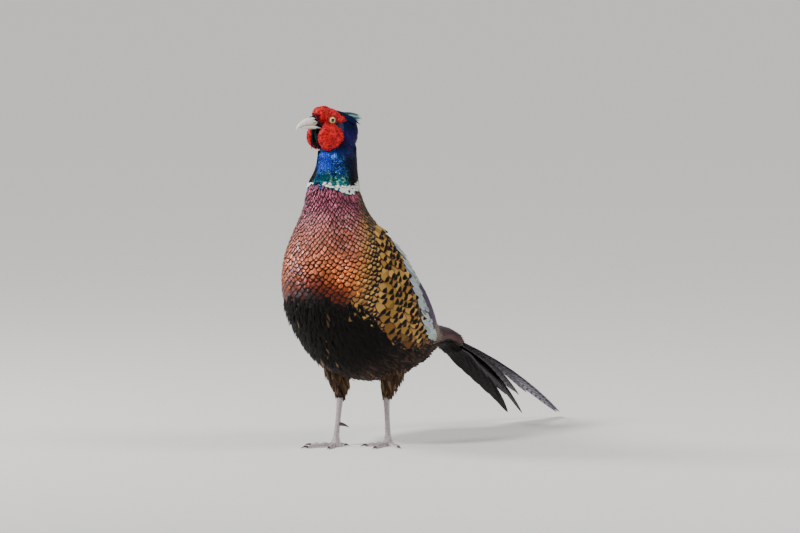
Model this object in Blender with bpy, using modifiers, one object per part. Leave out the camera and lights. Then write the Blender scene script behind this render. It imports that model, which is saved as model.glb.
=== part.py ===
"""A cock common pheasant, life size, standing alert with its head turned to its right.

Metres, +Z up. The bird faces -Y, its left side is +X, and it stands on z = 0. The trunk and neck are one
smooth loft parted by thin cuts, and each other form is made against that loft's own sizes. The last step
moves everything so that the origin is the centre of the bounding box's underside.
"""

import math

import bmesh
import bpy
import numpy as np
from mathutils import Matrix, Vector

GAP = 0.0003  # between parts that touch
LEFTWARD = Vector((1, 0, 0))
BACKWARD = Vector((0, 1, 0))
UPWARD = Vector((0, 0, 1))
BODY_SIDES = 24  # points around the neck and trunk

# Side profile of neck and trunk, from the throat to the tail's root. Each station gives the belly-side
# point (y, z), the back-side point (y, z) and the half width there.
PROFILE = np.array(
    [
        (-0.0970, 0.4350, -0.0310, 0.4310, 0.0240),  # 0, under the head
        (-0.0990, 0.4180, -0.0310, 0.4140, 0.0262),
        (-0.1050, 0.4030, -0.0310, 0.3990, 0.0292),
        (-0.1140, 0.3900, -0.0315, 0.3860, 0.0333),  # 3, top of the white collar
        (-0.1170, 0.3740, -0.0310, 0.3750, 0.0360),  # 4, foot of the white collar
        (-0.1200, 0.3480, -0.0270, 0.3600, 0.0415),
        (-0.1320, 0.3140, -0.0180, 0.3430, 0.0530),
        (-0.1420, 0.2750, -0.0050, 0.3260, 0.0680),
        (-0.1430, 0.2310, 0.0130, 0.3060, 0.0790),
        (-0.1290, 0.1880, 0.0340, 0.2840, 0.0840),
        (-0.0990, 0.1480, 0.0560, 0.2600, 0.0845),  # 10, widest
        (-0.0620, 0.1170, 0.0790, 0.2360, 0.0810),
        (-0.0120, 0.1010, 0.1000, 0.2140, 0.0735),
        (0.0350, 0.0980, 0.1190, 0.1950, 0.0635),
        (0.0740, 0.1060, 0.1350, 0.1810, 0.0525),
        (0.1060, 0.1180, 0.1500, 0.1720, 0.0425),
        (0.1340, 0.1280, 0.1680, 0.1660, 0.0345),
        (0.1650, 0.1340, 0.1880, 0.1610, 0.0280),
        (0.1960, 0.1320, 0.2120, 0.1550, 0.0225),  # 18, the tail's root
    ]
)
NECK = (0.0, 3.0)  # stations that each slice of the loft runs between
COLLAR = (3.0, 4.0)
TORSO = (4.0, 13.5)
RUMP = (13.5, 18.0)

HEAD_CENTRE = Vector((-0.0060, -0.0720, 0.4790))  # midway between the eyes
HEAD_TURN = math.radians(-29.0)  # to the bird's right
EYE_CENTRE = Vector((0.0112, -0.0045, 0.0))  # in the head's own axes: x left, -y forward
EYE_RADIUS = 0.0058
LID_STEPS = 16  # points round the eye
LID_SIDES = 7  # points round the lid itself
TUFTS = {
    # root and tip of the erect feather horn behind the eye, in the head's axes
    -1: (Vector((-0.0125, 0.0215, 0.0060)), Vector((-0.0150, 0.0600, -0.0060))),
    1: (Vector((0.0130, 0.0200, 0.0040)), Vector((0.0195, 0.0420, -0.0085))),
}

TAIL_ROOT = Vector((0.0, 0.2050, 0.1420))
TAIL_SLOPE = math.radians(-23.5)
TAIL_LENGTH = 0.328  # of the central pair behind the root
TAIL_START = 0.014  # from the root to where the feathers' shafts begin
TAIL_ARCH = 0.006
TAIL_DROOP = 0.010
TAIL_CORE = (
    # y behind the root, half width, half height
    (0.020, 0.0205, 0.0130),
    (0.045, 0.0170, 0.0095),
    (0.068, 0.0090, 0.0050),
)
TAIL_FEATHERS = (
    # one of each pair: length as a part of the central one's, and degrees below it
    (1.00, 0.0),
    (0.68, 1.0),
    (0.62, 4.0),
    (0.68, 9.5),
    (0.60, 9.0),
    (0.51, 9.0),
    (0.42, 9.0),
    (0.34, 9.0),
    (0.27, 9.0),
)

WING_BEND = (7.6, 134.0)  # station, and angle round the trunk in degrees
WING_HAND = (12.6, 112.0)
WING_SPREAD = 26.0  # half the wing's breadth, in degrees round the trunk
WING_RISE = 0.0075
VANE_THICK = 0.0006
VANE_TILT = 0.0008  # how much one edge of a feather lies over the next

# Along a feather from root to tip, and its width there as a part of its greatest.
QUILL = ((0.0, 0.6), (0.22, 0.95), (0.5, 1.0), (0.76, 0.80), (0.93, 0.42), (1.0, 0.08))
SECONDARY = ((0.0, 0.6), (0.3, 0.95), (0.6, 1.0), (0.88, 0.8), (1.0, 0.26))
COVERT = ((0.0, 0.3), (0.3, 0.9), (0.75, 0.9), (1.0, 0.24))

WING_TIERS = (
    # root station, tip station, root angles, tip angles, feathers, half width, lifts, shape
    (11.2, 15.3, (104.0, 120.0), (99.0, 115.0), 3, 0.0085, (0.0020, 0.0018), QUILL),
    (9.8, 14.0, (95.0, 136.0), (85.0, 132.0), 6, 0.0102, (0.0022, 0.0034), SECONDARY),
    (9.1, 11.9, (99.0, 143.0), (87.0, 141.0), 6, 0.0110, (0.0030, 0.0054), COVERT),
    (8.2, 10.1, (114.0, 144.0), (96.0, 146.0), 5, 0.0118, (0.0026, 0.0070), COVERT),
)

RUMP_FEATHERS = 7
RUMP_SPREAD = 56.0  # degrees round the trunk to each side of the back
RUMP_ROOT = 15.9  # station

SHANK_LENGTH = 0.072  # hock to sole
PAD_RADIUS = 0.0078  # the ball of the foot
LEGS = {
    # hock and foot points on the bird, and how many degrees the foot turns out
    "right": {"side": -1, "hock": (-0.026, -0.020), "foot": (-0.027, -0.031), "out": 25.0},
    "left": {"side": 1, "hock": (0.027, 0.021), "foot": (0.0275, 0.025), "out": 12.0},
}
TOES = {
    # turn from straight ahead (towards the outside), toe length, claw length
    "inner": (-45.0, 0.034, 0.010),
    "middle": (0.0, 0.047, 0.011),
    "outer": (45.0, 0.037, 0.010),
    "hind": (188.0, 0.014, 0.008),
}
TOE_START = 0.004  # from the middle of the foot
TOE_STEPS = (0.0, 0.2, 0.4, 0.6, 0.82, 1.0)
CLAW = ((0.0, 1.0, 0.0), (0.3, 0.86, 0.0006), (0.65, 0.55, 0.0004), (1.0, 0.16, -0.0010))
SPUR = (
    # reach, half thickness, droop
    (0.0, 0.0032, 0.0),
    (0.006, 0.0026, 0.0),
    (0.012, 0.0016, 0.0012),
    (0.017, 0.0003, 0.0034),
)

COLOURS = {
    "iridescent": (0.02, 0.06, 0.16, 0.35, 0.5),  # red, green, blue, roughness, metallic
    "white": (0.85, 0.85, 0.82, 0.8, 0.0),
    "copper": (0.38, 0.13, 0.04, 0.5, 0.2),
    "maroon": (0.16, 0.07, 0.06, 0.6, 0.0),
    "slate": (0.33, 0.36, 0.36, 0.7, 0.0),
    "tail": (0.17, 0.11, 0.07, 0.6, 0.0),
    "dark": (0.05, 0.03, 0.02, 0.7, 0.0),
    "red": (0.70, 0.01, 0.01, 0.55, 0.0),
    "ivory": (0.75, 0.71, 0.62, 0.4, 0.0),
    "leg": (0.42, 0.39, 0.40, 0.5, 0.0),
    "claw": (0.10, 0.08, 0.07, 0.4, 0.0),
    "eye": (0.85, 0.68, 0.30, 0.05, 0.0),
    "crest": (0.05, 0.16, 0.12, 0.4, 0.4),
}


def clear_scene():
    for obj in list(bpy.data.objects):
        bpy.data.objects.remove(obj, do_unlink=True)


def new_collection(name):
    made = bpy.data.collections.new(name)
    bpy.context.scene.collection.children.link(made)
    return made


def material(name):
    found = bpy.data.materials.get(name)
    if found:
        return found
    red, green, blue, roughness, metallic = COLOURS[name]
    made = bpy.data.materials.new(name)
    made.use_nodes = True
    shader = made.node_tree.nodes["Principled BSDF"]
    shader.inputs["Base Color"].default_value = (red, green, blue, 1.0)
    shader.inputs["Roughness"].default_value = roughness
    shader.inputs["Metallic"].default_value = metallic
    return made


def object_from(bm, name):
    """A mesh object in the scene from a bmesh, with its faces turned outwards."""
    bmesh.ops.recalc_face_normals(bm, faces=bm.faces)
    mesh = bpy.data.meshes.new(name)
    bm.to_mesh(mesh)
    bm.free()
    obj = bpy.data.objects.new(name, mesh)
    bird.objects.link(obj)
    return obj


def finish(obj, colour):
    """Gives a piece its material, and shades it smooth but for its sharp edges."""
    obj.data.materials.clear()
    obj.data.materials.append(material(colour))
    obj.data.shade_smooth()
    obj.data.set_sharp_from_angle(angle=math.radians(50))
    return obj


def loft(name, rings):
    """A closed body through rings that have the same number of points."""
    bm = bmesh.new()
    loops = [[bm.verts.new(point) for point in ring] for ring in rings]
    for lower, upper in zip(loops, loops[1:]):
        for i in range(len(lower)):
            j = (i + 1) % len(lower)
            bm.faces.new((lower[i], lower[j], upper[j], upper[i]))
    bm.faces.new(list(reversed(loops[0])))
    bm.faces.new(loops[-1])
    return object_from(bm, name)


def evaluated_mesh(obj):
    graph = bpy.context.evaluated_depsgraph_get()
    return bpy.data.meshes.new_from_object(obj.evaluated_get(graph))


def apply_modifiers(obj):
    bpy.context.view_layer.update()
    made = evaluated_mesh(obj)
    obj.modifiers.clear()
    obj.data = made
    return obj


def remove(objects):
    for obj in objects:
        bpy.data.objects.remove(obj, do_unlink=True)


def keep_largest(obj):
    """Drops every closed surface of the mesh but its largest."""
    bm = bmesh.new()
    bm.from_mesh(obj.data)
    unseen = set(bm.verts)
    shells = []
    while unseen:
        stack = [unseen.pop()]
        shell = []
        while stack:
            vert = stack.pop()
            shell.append(vert)
            for edge in vert.link_edges:
                other = edge.other_vert(vert)
                if other in unseen:
                    unseen.discard(other)
                    stack.append(other)
        shells.append(shell)
    shells.sort(key=len)
    loose = [vert for shell in shells[:-1] for vert in shell]
    bmesh.ops.delete(bm, geom=loose, context="VERTS")
    bm.to_mesh(obj.data)
    bm.free()
    return obj


def fuse(name, pieces, solver="EXACT"):
    """One closed body from overlapping closed pieces."""
    first = pieces[0]
    others = pieces[1:]
    group = bpy.data.collections.new(name + "_pieces")
    for obj in others:
        group.objects.link(obj)
    union = first.modifiers.new("union", "BOOLEAN")
    union.operation = "UNION"
    union.operand_type = "COLLECTION"
    union.collection = group
    union.solver = solver
    apply_modifiers(first)
    remove(others)
    bpy.data.collections.remove(group)
    first.name = name
    return keep_largest(first)


def set_aside(cutter):
    """Moves a cutter to its own collection, where no render shows it."""
    for group in list(cutter.users_collection):
        group.objects.unlink(cutter)
    cutter_group.objects.link(cutter)
    cutter.hide_render = True
    cutter.display_type = "WIRE"


def cut(obj, cutters, keep_cutters=False, solver="EXACT"):
    """Takes each cutter's volume from obj."""
    for cutter in cutters:
        set_aside(cutter)
        difference = obj.modifiers.new("cut", "BOOLEAN")
        difference.operation = "DIFFERENCE"
        difference.object = cutter
        difference.solver = solver
        apply_modifiers(obj)
    if not keep_cutters:
        remove(cutters)
    return keep_largest(obj)


def soften(obj, voxel, rounds, triangles):
    """One smooth skin over fused pieces, thinned to about the given number of triangles."""
    remesh = obj.modifiers.new("remesh", "REMESH")
    remesh.mode = "VOXEL"
    remesh.voxel_size = voxel
    smooth = obj.modifiers.new("smooth", "SMOOTH")
    smooth.factor = 0.5
    smooth.iterations = rounds
    apply_modifiers(obj)
    made = sum(len(face.vertices) - 2 for face in obj.data.polygons)
    thin = obj.modifiers.new("thin", "DECIMATE")
    thin.ratio = min(1.0, triangles / made)
    return apply_modifiers(obj)


def ellipsoid(name, centre, radii, segments=20, rings=12):
    bm = bmesh.new()
    place = Matrix.Translation(centre) @ Matrix.Diagonal((*radii, 1.0))
    bmesh.ops.create_uvsphere(bm, u_segments=segments, v_segments=rings, radius=1.0, matrix=place)
    return object_from(bm, name)


def box(name, low, high):
    bm = bmesh.new()
    middle = (Vector(low) + Vector(high)) / 2
    size = Vector(high) - Vector(low)
    bmesh.ops.create_cube(bm, size=1.0, matrix=Matrix.Translation(middle) @ Matrix.Diagonal((*size, 1.0)))
    return object_from(bm, name)


def profile_at(t):
    """The profile's five numbers at station t, by a Catmull-Rom curve through the stations."""
    last = len(PROFILE) - 1
    i = min(max(int(math.floor(t)), 0), last - 1)
    f = t - i
    before, start, end, after = (PROFILE[min(max(k, 0), last)] for k in (i - 1, i, i + 1, i + 2))
    return 0.5 * (
        2 * start
        + (end - before) * f
        + (2 * before - 5 * start + 4 * end - after) * f**2
        + (3 * start - before - 3 * end + after) * f**3
    )


def trunk_surface(t, angle):
    """A point of the neck and trunk: angle 0 is the belly line, 90 degrees the left side, 180 the back."""
    belly_y, belly_z, back_y, back_z, width = profile_at(t)
    share = -math.cos(angle)
    y = (belly_y + back_y) / 2 + (back_y - belly_y) / 2 * share
    z = (belly_z + back_z) / 2 + (back_z - belly_z) / 2 * share
    return Vector((width * math.sin(angle), y, z))


def trunk_normal(t, angle):
    step = 0.02
    along = trunk_surface(t + step, angle) - trunk_surface(t - step, angle)
    around = trunk_surface(t, angle + step) - trunk_surface(t, angle - step)
    return along.cross(around).normalized()


def trunk_point(t, angle, lift=0.0):
    return trunk_surface(t, angle) + trunk_normal(t, angle) * lift


def trunk_ring(t, lift=0.0):
    return [trunk_point(t, 2 * math.pi * k / BODY_SIDES, lift) for k in range(BODY_SIDES)]


def trunk_axis(t):
    """Unit direction from the head towards the tail at station t, square to that station's ring."""
    belly_y, belly_z, back_y, back_z, _ = profile_at(t)
    return Vector((0.0, back_z - belly_z, -(back_y - belly_y))).normalized()


def trunk_rings(ends, lift=0.0):
    """Rings between two stations, evenly spaced and two to a station."""
    count = round((ends[1] - ends[0]) * 2)
    return [trunk_ring(ends[0] + (ends[1] - ends[0]) * k / count, lift) for k in range(count + 1)]


def trunk_slice(name, ends):
    """The part of the trunk between two stations, with flat ends held back from its neighbours."""
    rings = trunk_rings(ends)
    rings[0] = [point + trunk_axis(ends[0]) * GAP / 2 for point in rings[0]]
    rings[-1] = [point - trunk_axis(ends[1]) * GAP / 2 for point in rings[-1]]
    return loft(name, rings)


def trunk_cutter(ends):
    """The trunk between two stations, a gap wider all round, for cutting what grows from it."""
    return loft("trunk_cutter", trunk_rings(ends, GAP))


def head_place():
    return Matrix.Translation(HEAD_CENTRE) @ Matrix.Rotation(HEAD_TURN, 4, "Z")


def oval_ring(centre, across, up, half_across, half_up, count=16, flat=1.0):
    """Points round an oval spanned by two unit directions. flat under 1 squares it off."""
    ring = []
    for k in range(count):
        angle = 2 * math.pi * k / count
        cosine, sine = math.cos(angle), math.sin(angle)
        a = math.copysign(abs(cosine) ** flat, cosine) * half_across
        b = math.copysign(abs(sine) ** flat, sine) * half_up
        ring.append(centre + across * a + up * b)
    return ring


def level_loft(name, sections, count=16, flat=1.0):
    """A loft along y. A section is (y, lowest z, highest z, half width)."""
    rings = []
    for y, low, high, half in sections:
        centre = Vector((0.0, y, (low + high) / 2))
        rings.append(oval_ring(centre, LEFTWARD, UPWARD, half, (high - low) / 2, count, flat))
    return loft(name, rings)


def skull():
    """Head and throat in the head's own axes, from the bill's root to the nape."""
    return level_loft(
        "skull",
        [
            (-0.0262, -0.0105, 0.0062, 0.0066),
            (-0.0240, -0.0128, 0.0095, 0.0085),
            (-0.0180, -0.0165, 0.0138, 0.0108),
            (-0.0090, -0.0220, 0.0162, 0.0132),
            (0.0000, -0.0280, 0.0162, 0.0148),
            (0.0100, -0.0330, 0.0144, 0.0160),
            (0.0200, -0.0360, 0.0114, 0.0164),
            (0.0290, -0.0370, 0.0062, 0.0155),
            (0.0355, -0.0350, -0.0005, 0.0128),
            (0.0398, -0.0290, -0.0095, 0.0070),
        ],
        count=20,
    )


def neck_stub():
    """The top of the neck, drawn up into the skull, in world axes."""
    rings = [trunk_ring(0.5), trunk_ring(0.0)]
    inner = head_place() @ Vector((0.0, 0.0150, -0.0100))
    centre = sum(rings[-1], Vector()) / BODY_SIDES
    for share, size, narrow in ((0.3, 0.96, 0.93), (0.62, 0.88, 0.80), (1.0, 0.66, 0.62)):
        middle = centre.lerp(inner, share)
        squeeze = Matrix.Diagonal((narrow, size, size))
        rings.append([middle + squeeze @ (point - centre) for point in trunk_ring(0.0)])
    return loft("neck_stub", rings)


def head_core():
    """Skull and neck stub as one smooth body, in world axes, still whole at the neck."""
    bone = skull()
    bone.data.transform(head_place())
    return soften(fuse("head_core", [bone, neck_stub()]), voxel=0.0016, rounds=8, triangles=850)


def below_neck_plane():
    """A block under the joint of head and neck."""
    belly_y, belly_z, back_y, back_z, _ = profile_at(0.0)
    middle = Vector((0.0, (belly_y + back_y) / 2, (belly_z + back_z) / 2))
    block = box("below_neck", (-0.06, -0.06, -0.08), (0.06, 0.06, GAP / 2))
    tilt = Vector((0, 0, 1)).rotation_difference(-trunk_axis(0.0))
    block.data.transform(Matrix.Translation(middle) @ tilt.to_matrix().to_4x4())
    return block


def bill():
    """Upper and lower bill in the head's own axes, parted along the line of the mouth."""
    upper = level_loft(
        "bill_upper",
        [
            (-0.0550, -0.0136, -0.0116, 0.0008),
            (-0.0525, -0.0118, -0.0066, 0.0022),
            (-0.0475, -0.0094, -0.0020, 0.0034),
            (-0.0415, -0.0079, 0.0016, 0.0045),
            (-0.0340, -0.0070, 0.0044, 0.0056),
            (-0.0290, -0.0072, 0.0064, 0.0066),
            (-0.0235, -0.0082, 0.0070, 0.0073),
            (-0.0185, -0.0096, 0.0050, 0.0075),
        ],
        count=14,
        flat=0.85,
    )
    lower = level_loft(
        "bill_lower",
        [
            (-0.0488, -0.0116, -0.0102, 0.0012),
            (-0.0450, -0.0122, -0.0092, 0.0030),
            (-0.0370, -0.0124, -0.0077, 0.0044),
            (-0.0300, -0.0130, -0.0074, 0.0056),
            (-0.0235, -0.0134, -0.0085, 0.0066),
            (-0.0185, -0.0136, -0.0099, 0.0070),
        ],
        count=14,
        flat=0.85,
    )
    cut(lower, [grown(upper, GAP)])
    for side in (-1, 1):
        nostril = ellipsoid("nostril", (0.0060 * side, -0.0285, -0.0002), (0.0018, 0.0030, 0.0009), 12, 8)
        cut(upper, [nostril])
    return upper, lower


def grown(obj, by):
    """A copy of obj whose surface is moved out along its normals, used as a cutter."""
    bm = bmesh.new()
    bm.from_mesh(obj.data)
    bmesh.ops.triangulate(bm, faces=bm.faces)
    bm.normal_update()
    moves = [(vert, vert.normal.copy()) for vert in bm.verts]
    for vert, normal in moves:
        vert.co += normal * by
    return object_from(bm, obj.name + "_grown")


def wattle(side):
    """Red face skin of one side: comb, brow, hind corner and the hanging cheek lobe."""
    lobe_out = {1: 0.0198, -1: -0.0190}[side]
    pieces = [
        ellipsoid("lobe", (lobe_out, -0.0092, -0.0250), (0.0078, 0.0203, 0.0195), 22, 14),
        ellipsoid("comb", (0.0082 * side, -0.0150, 0.0080), (0.0080, 0.0120, 0.0118), 20, 12),
        ellipsoid("brow", (0.0098 * side, -0.0030, 0.0030), (0.0052, 0.0165, 0.0115), 20, 12),
        ellipsoid("corner", (0.0110 * side, 0.0110, -0.0005), (0.0042, 0.0125, 0.0055), 16, 10),
        ellipsoid("bridge", (0.0110 * side, -0.0060, -0.0100), (0.0056, 0.0120, 0.0095), 16, 10),
    ]
    return soften(fuse("wattle", pieces, solver="MANIFOLD"), voxel=0.0011, rounds=6, triangles=330)


def lid_ring(side):
    """The two lids as a low ring round the eye."""
    bm = bmesh.new()
    rings = []
    centre = Vector((0.0153 * side, EYE_CENTRE.y, 0.0))
    for k in range(LID_STEPS):
        turn = 2 * math.pi * k / LID_STEPS
        outward = Vector((0.0, math.cos(turn), math.sin(turn) * 0.92))
        middle = centre + outward * 0.0053
        ring = oval_ring(middle, outward, LEFTWARD, 0.0011, 0.0016, LID_SIDES)
        rings.append([bm.verts.new(point) for point in ring])
    for k in range(LID_STEPS):
        one = rings[k]
        two = rings[(k + 1) % LID_STEPS]
        for i in range(LID_SIDES):
            j = (i + 1) % LID_SIDES
            bm.faces.new((one[i], one[j], two[j], two[i]))
    return object_from(bm, "lids")


def lid_opening(side):
    """The space before the eyeball that the lids leave open, in world axes."""
    made = ellipsoid("lid_opening", (0.0200 * side, EYE_CENTRE.y, 0.0), (0.0085, 0.0047, 0.0044), 18, 12)
    made.data.transform(head_place())
    return made


def ear_tuft(side):
    """A few tapered blades from one root."""
    root, end = TUFTS[side]
    pieces = [ellipsoid("tuft_root", root, (0.0040, 0.0085, 0.0040), 12, 8)]
    for k in range(5):
        spread = (k - 2) / 2
        tip = end + Vector((0.002 * spread, -0.007 * abs(spread), 0.0060 * spread))
        pieces.append(blade(f"tuft_blade_{k}", root, tip, 0.0024, 0.0009, Vector((side, 0, 0))))
    return fuse("ear_tuft", pieces, solver="MANIFOLD")


def blade(name, root, tip, half_width, half_thick, face):
    """A tapered lock from root to tip whose broad side looks along face."""
    along = (tip - root).normalized()
    across = along.cross(face).normalized()
    normal = across.cross(along).normalized()
    rings = []
    for share, size in ((0.0, 0.8), (0.35, 1.0), (0.7, 0.7), (1.0, 0.14)):
        middle = root.lerp(tip, share)
        rings.append(oval_ring(middle, across, normal, half_width * size, half_thick * max(size, 0.4), 6))
    return loft(name, rings)


def make_head():
    core = head_core()
    neck_block = below_neck_plane()
    upper, lower = bill()
    place = head_place()
    for obj in (upper, lower):
        obj.data.transform(place)
    eyes = {}
    for side, word in ((1, "left"), (-1, "right")):
        centre = place @ Vector((EYE_CENTRE.x * side, EYE_CENTRE.y, EYE_CENTRE.z))
        eyes[word] = (centre, ellipsoid("eye_" + word, centre, (EYE_RADIUS,) * 3, 14, 9))
    sockets = [ellipsoid("socket", centre, (EYE_RADIUS + GAP,) * 3, 16, 10) for centre, _ in eyes.values()]
    cut(core, [neck_block, grown(upper, GAP), grown(lower, GAP)])
    full = grown(core, GAP * 1.5)
    cut(core, sockets)
    for side, word in ((1, "left"), (-1, "right")):
        skin = wattle(side)
        lids = lid_ring(side)
        skin = fuse("wattle_" + word, [skin, lids], solver="MANIFOLD")
        skin.data.transform(place)
        socket = ellipsoid("socket", eyes[word][0], (EYE_RADIUS + GAP,) * 3, 16, 10)
        cut(skin, [socket, lid_opening(side), grown(upper, GAP), grown(lower, GAP)], solver="MANIFOLD")
        cut(skin, [full], keep_cutters=True, solver="MANIFOLD")
        finish(skin, "red")
        tuft = ear_tuft(side)
        tuft.data.transform(place)
        cut(tuft, [grown(skin, GAP)], solver="MANIFOLD")
        cut(tuft, [full], keep_cutters=True, solver="MANIFOLD")
        tuft.name = "ear_tuft_" + word
        finish(tuft, "crest")
        finish(eyes[word][1], "eye")
    remove([full])
    core.name = "head"
    finish(core, "iridescent")
    finish(upper, "ivory")
    finish(lower, "ivory")


def vane(name, centres, normals, halves, camber=0.15, tilt=0.0):
    """A feather's thin closed blade along its centres, with its shaft as a low ridge.

    halves are its half widths and tilt lifts one edge over its neighbour. Both faces are split alike.
    """
    last = len(centres) - 1
    tops = []
    bottoms = []
    bm = bmesh.new()
    for i, centre in enumerate(centres):
        ahead = (centres[min(i + 1, last)] - centres[max(i - 1, 0)]).normalized()
        across = ahead.cross(normals[i]).normalized()
        up = across.cross(ahead).normalized()
        half = halves[i]
        thin = VANE_THICK * (0.6 if i == last else 1.0)
        row = [centre + across * p * half + up * (tilt * p - camber * half * abs(p)) for p in (-1, 0, 1)]
        tops.append([bm.verts.new(point + up * thin / 2) for point in row])
        bottoms.append([bm.verts.new(point - up * thin / 2) for point in row])
    for i in range(last):
        for grid in (tops, bottoms):
            for j in (0, 1):
                bm.faces.new((grid[i][j], grid[i][j + 1], grid[i + 1][j + 1]))
                bm.faces.new((grid[i][j], grid[i + 1][j + 1], grid[i + 1][j]))
        for j in (0, 2):
            bm.faces.new((tops[i][j], tops[i + 1][j], bottoms[i + 1][j], bottoms[i][j]))
    for i in (0, last):
        for j in (0, 1):
            bm.faces.new((tops[i][j], tops[i][j + 1], bottoms[i][j + 1], bottoms[i][j]))
    return object_from(bm, name)


def trunk_vane(name, root, tip, half, lifts, shape):
    """A feather laid along the trunk from root to tip, each a (station, angle), between two lifts."""
    centres = []
    normals = []
    for share, _ in shape:
        t = root[0] + (tip[0] - root[0]) * share
        angle = math.radians(root[1] + (tip[1] - root[1]) * share)
        rise = lifts[0] + (lifts[1] - lifts[0]) * min(1.0, share / 0.5)
        centres.append(trunk_point(t, angle, rise))
        normals.append(trunk_normal(t, angle))
    return vane(name, centres, normals, [half * size for _, size in shape], tilt=VANE_TILT)


def wing_core():
    """The wing's body under its feathers: a low mound from the bend to the hand, sunk in the trunk."""
    rings = []
    for k in range(8):
        share = k / 7
        t = WING_BEND[0] + (WING_HAND[0] - WING_BEND[0]) * share
        middle = math.radians(WING_BEND[1] + (WING_HAND[1] - WING_BEND[1]) * share)
        swell = math.sin(math.pi * (0.05 + 0.78 * share))
        spread = math.radians(WING_SPREAD) * (0.1 + 0.9 * swell)
        rise = WING_RISE * swell
        ring = []
        for j in range(12):
            turn = 2 * math.pi * j / 12
            ring.append(trunk_point(t, middle + spread * math.cos(turn), rise * math.sin(turn)))
        rings.append(ring)
    return loft("wing_core", rings)


def wing(side):
    """A folded wing: primaries, secondaries and two rows of coverts shingled over a low core."""
    core = wing_core()
    cut(core, [trunk_cutter((COLLAR[1], RUMP[1]))])
    pieces = [core]
    for root_t, tip_t, root_angles, tip_angles, count, half, lifts, shape in WING_TIERS:
        for k in range(count):
            share = k / (count - 1)
            root = (root_t, root_angles[0] + (root_angles[1] - root_angles[0]) * share)
            bow = 0.35 * math.sin(math.pi * share)
            tip = (tip_t + bow, tip_angles[0] + (tip_angles[1] - tip_angles[0]) * share)
            pieces.append(trunk_vane("wing_vane", root, tip, half, lifts, shape))
    made = fuse("wing", pieces, solver="MANIFOLD")
    if side < 0:
        made.data.transform(Matrix.Scale(-1, 4, LEFTWARD))
        made.data.flip_normals()
    return made


def tail_core():
    """The root of the tail on the rump's end, where the feathers are set."""
    axis = trunk_axis(RUMP[1])
    start = [point + axis * GAP / 2 for point in trunk_ring(RUMP[1])]
    rings = [start]
    place = tail_place()
    for y, half, high in TAIL_CORE:
        ring = []
        for k in range(BODY_SIDES):
            angle = 2 * math.pi * k / BODY_SIDES
            ring.append(place @ Vector((half * math.sin(angle), y, -math.cos(angle) * high)))
        rings.append(ring)
    return loft("tail_core", rings)


def tail_place():
    """The tail's own axes: x left, y back along the feathers, z up."""
    return Matrix.Translation(TAIL_ROOT) @ Matrix.Rotation(TAIL_SLOPE, 4, "X")


def tail_vane(pair, side):
    """One tail feather. The central pair lies on top, and each next one lies lower and more roofed."""
    share = pair / (len(TAIL_FEATHERS) - 1)
    length = TAIL_LENGTH * TAIL_FEATHERS[pair][0]
    down = math.radians(TAIL_FEATHERS[pair][1])
    out = 0.0086 + 0.0006 * pair if pair else 0.0022
    sink = 0.0008 + 0.0014 * pair if pair else 0.0004 * (1 - side)
    roll = math.radians(6.0 + 26.0 * share if pair else 0.0)
    half = 0.0112 - 0.0022 * share
    centres = []
    normals = []
    for part, _ in QUILL:
        reach = TAIL_START + (length - TAIL_START) * part
        aside = out * min(1.0, 0.4 + 1.5 * part) + reach * 0.03 * share
        fall = sink + reach * math.sin(down) * (0.55 + 0.45 * part) + TAIL_DROOP * part**2 * (1.0 - share)
        lift = 0.0060 + TAIL_ARCH * math.sin(math.pi * part)
        centres.append(Vector((side * aside, reach * math.cos(down), lift - fall)))
        turn = roll * min(1.0, 0.2 + part)
        normals.append(Vector((side * math.sin(turn), 0.0, math.cos(turn))))
    halves = [half * size for _, size in QUILL]
    made = vane("tail_vane", centres, normals, halves, camber=0.12)
    made.data.transform(tail_place())
    return made


def tail():
    """Eighteen tapering feathers fanned from one root."""
    pieces = [tail_core()]
    for pair in range(len(TAIL_FEATHERS)):
        for side in (1, -1):
            pieces.append(tail_vane(pair, side))
    return fuse("tail", pieces, solver="MANIFOLD")


def rump():
    """The rump, with one row of long lax feathers over the root of the tail."""
    pieces = [trunk_slice("rump_core", RUMP)]
    for k in range(RUMP_FEATHERS):
        angle = 180.0 - RUMP_SPREAD + 2 * RUMP_SPREAD * k / (RUMP_FEATHERS - 1)
        ends = (RUMP_ROOT, angle), (RUMP[1], angle)
        pieces.append(trunk_vane("rump_vane", *ends, 0.0072, (-0.0012, 0.0026), COVERT))
    return fuse("rump", pieces, solver="MANIFOLD")


def leg(word):
    """Feathered thigh, bare shank with its pad, spur, four toes and their claws."""
    spec = LEGS[word]
    side = spec["side"]
    hock = Vector((*spec["hock"], SHANK_LENGTH))
    foot = Vector((*spec["foot"], 0.0))
    thigh(word, side, hock)
    shank = make_shank(word, hock, foot)
    place = Matrix.Translation(foot) @ Matrix.Rotation(math.radians(spec["out"]) * side, 4, "Z")
    around = grown(shank, GAP)
    spur(word, side, hock, foot, place, around)
    toes(word, side, place, around)
    remove([around])
    cut(shank, [floor_cutter()])
    finish(shank, "leg")


def thigh(word, side, hock):
    """The feathered thigh, full where it leaves the belly and drawn in to the hock."""
    hip = Vector((0.042 * side, hock.y + 0.014, 0.170))
    rings = []
    for share, across, deep in (
        (0.0, 0.0052, 0.0060),
        (0.10, 0.0085, 0.0105),
        (0.26, 0.0140, 0.0190),
        (0.46, 0.0205, 0.0290),
        (0.70, 0.0235, 0.0345),
        (1.0, 0.0180, 0.0260),
    ):
        middle = hock.lerp(hip, share) + Vector((0.0, 0.0, GAP))
        rings.append(oval_ring(middle, LEFTWARD, BACKWARD, across, deep, 16))
    made = loft("thigh_" + word, rings)
    cut(made, [trunk_cutter(TORSO)])
    return finish(made, "dark")


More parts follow.
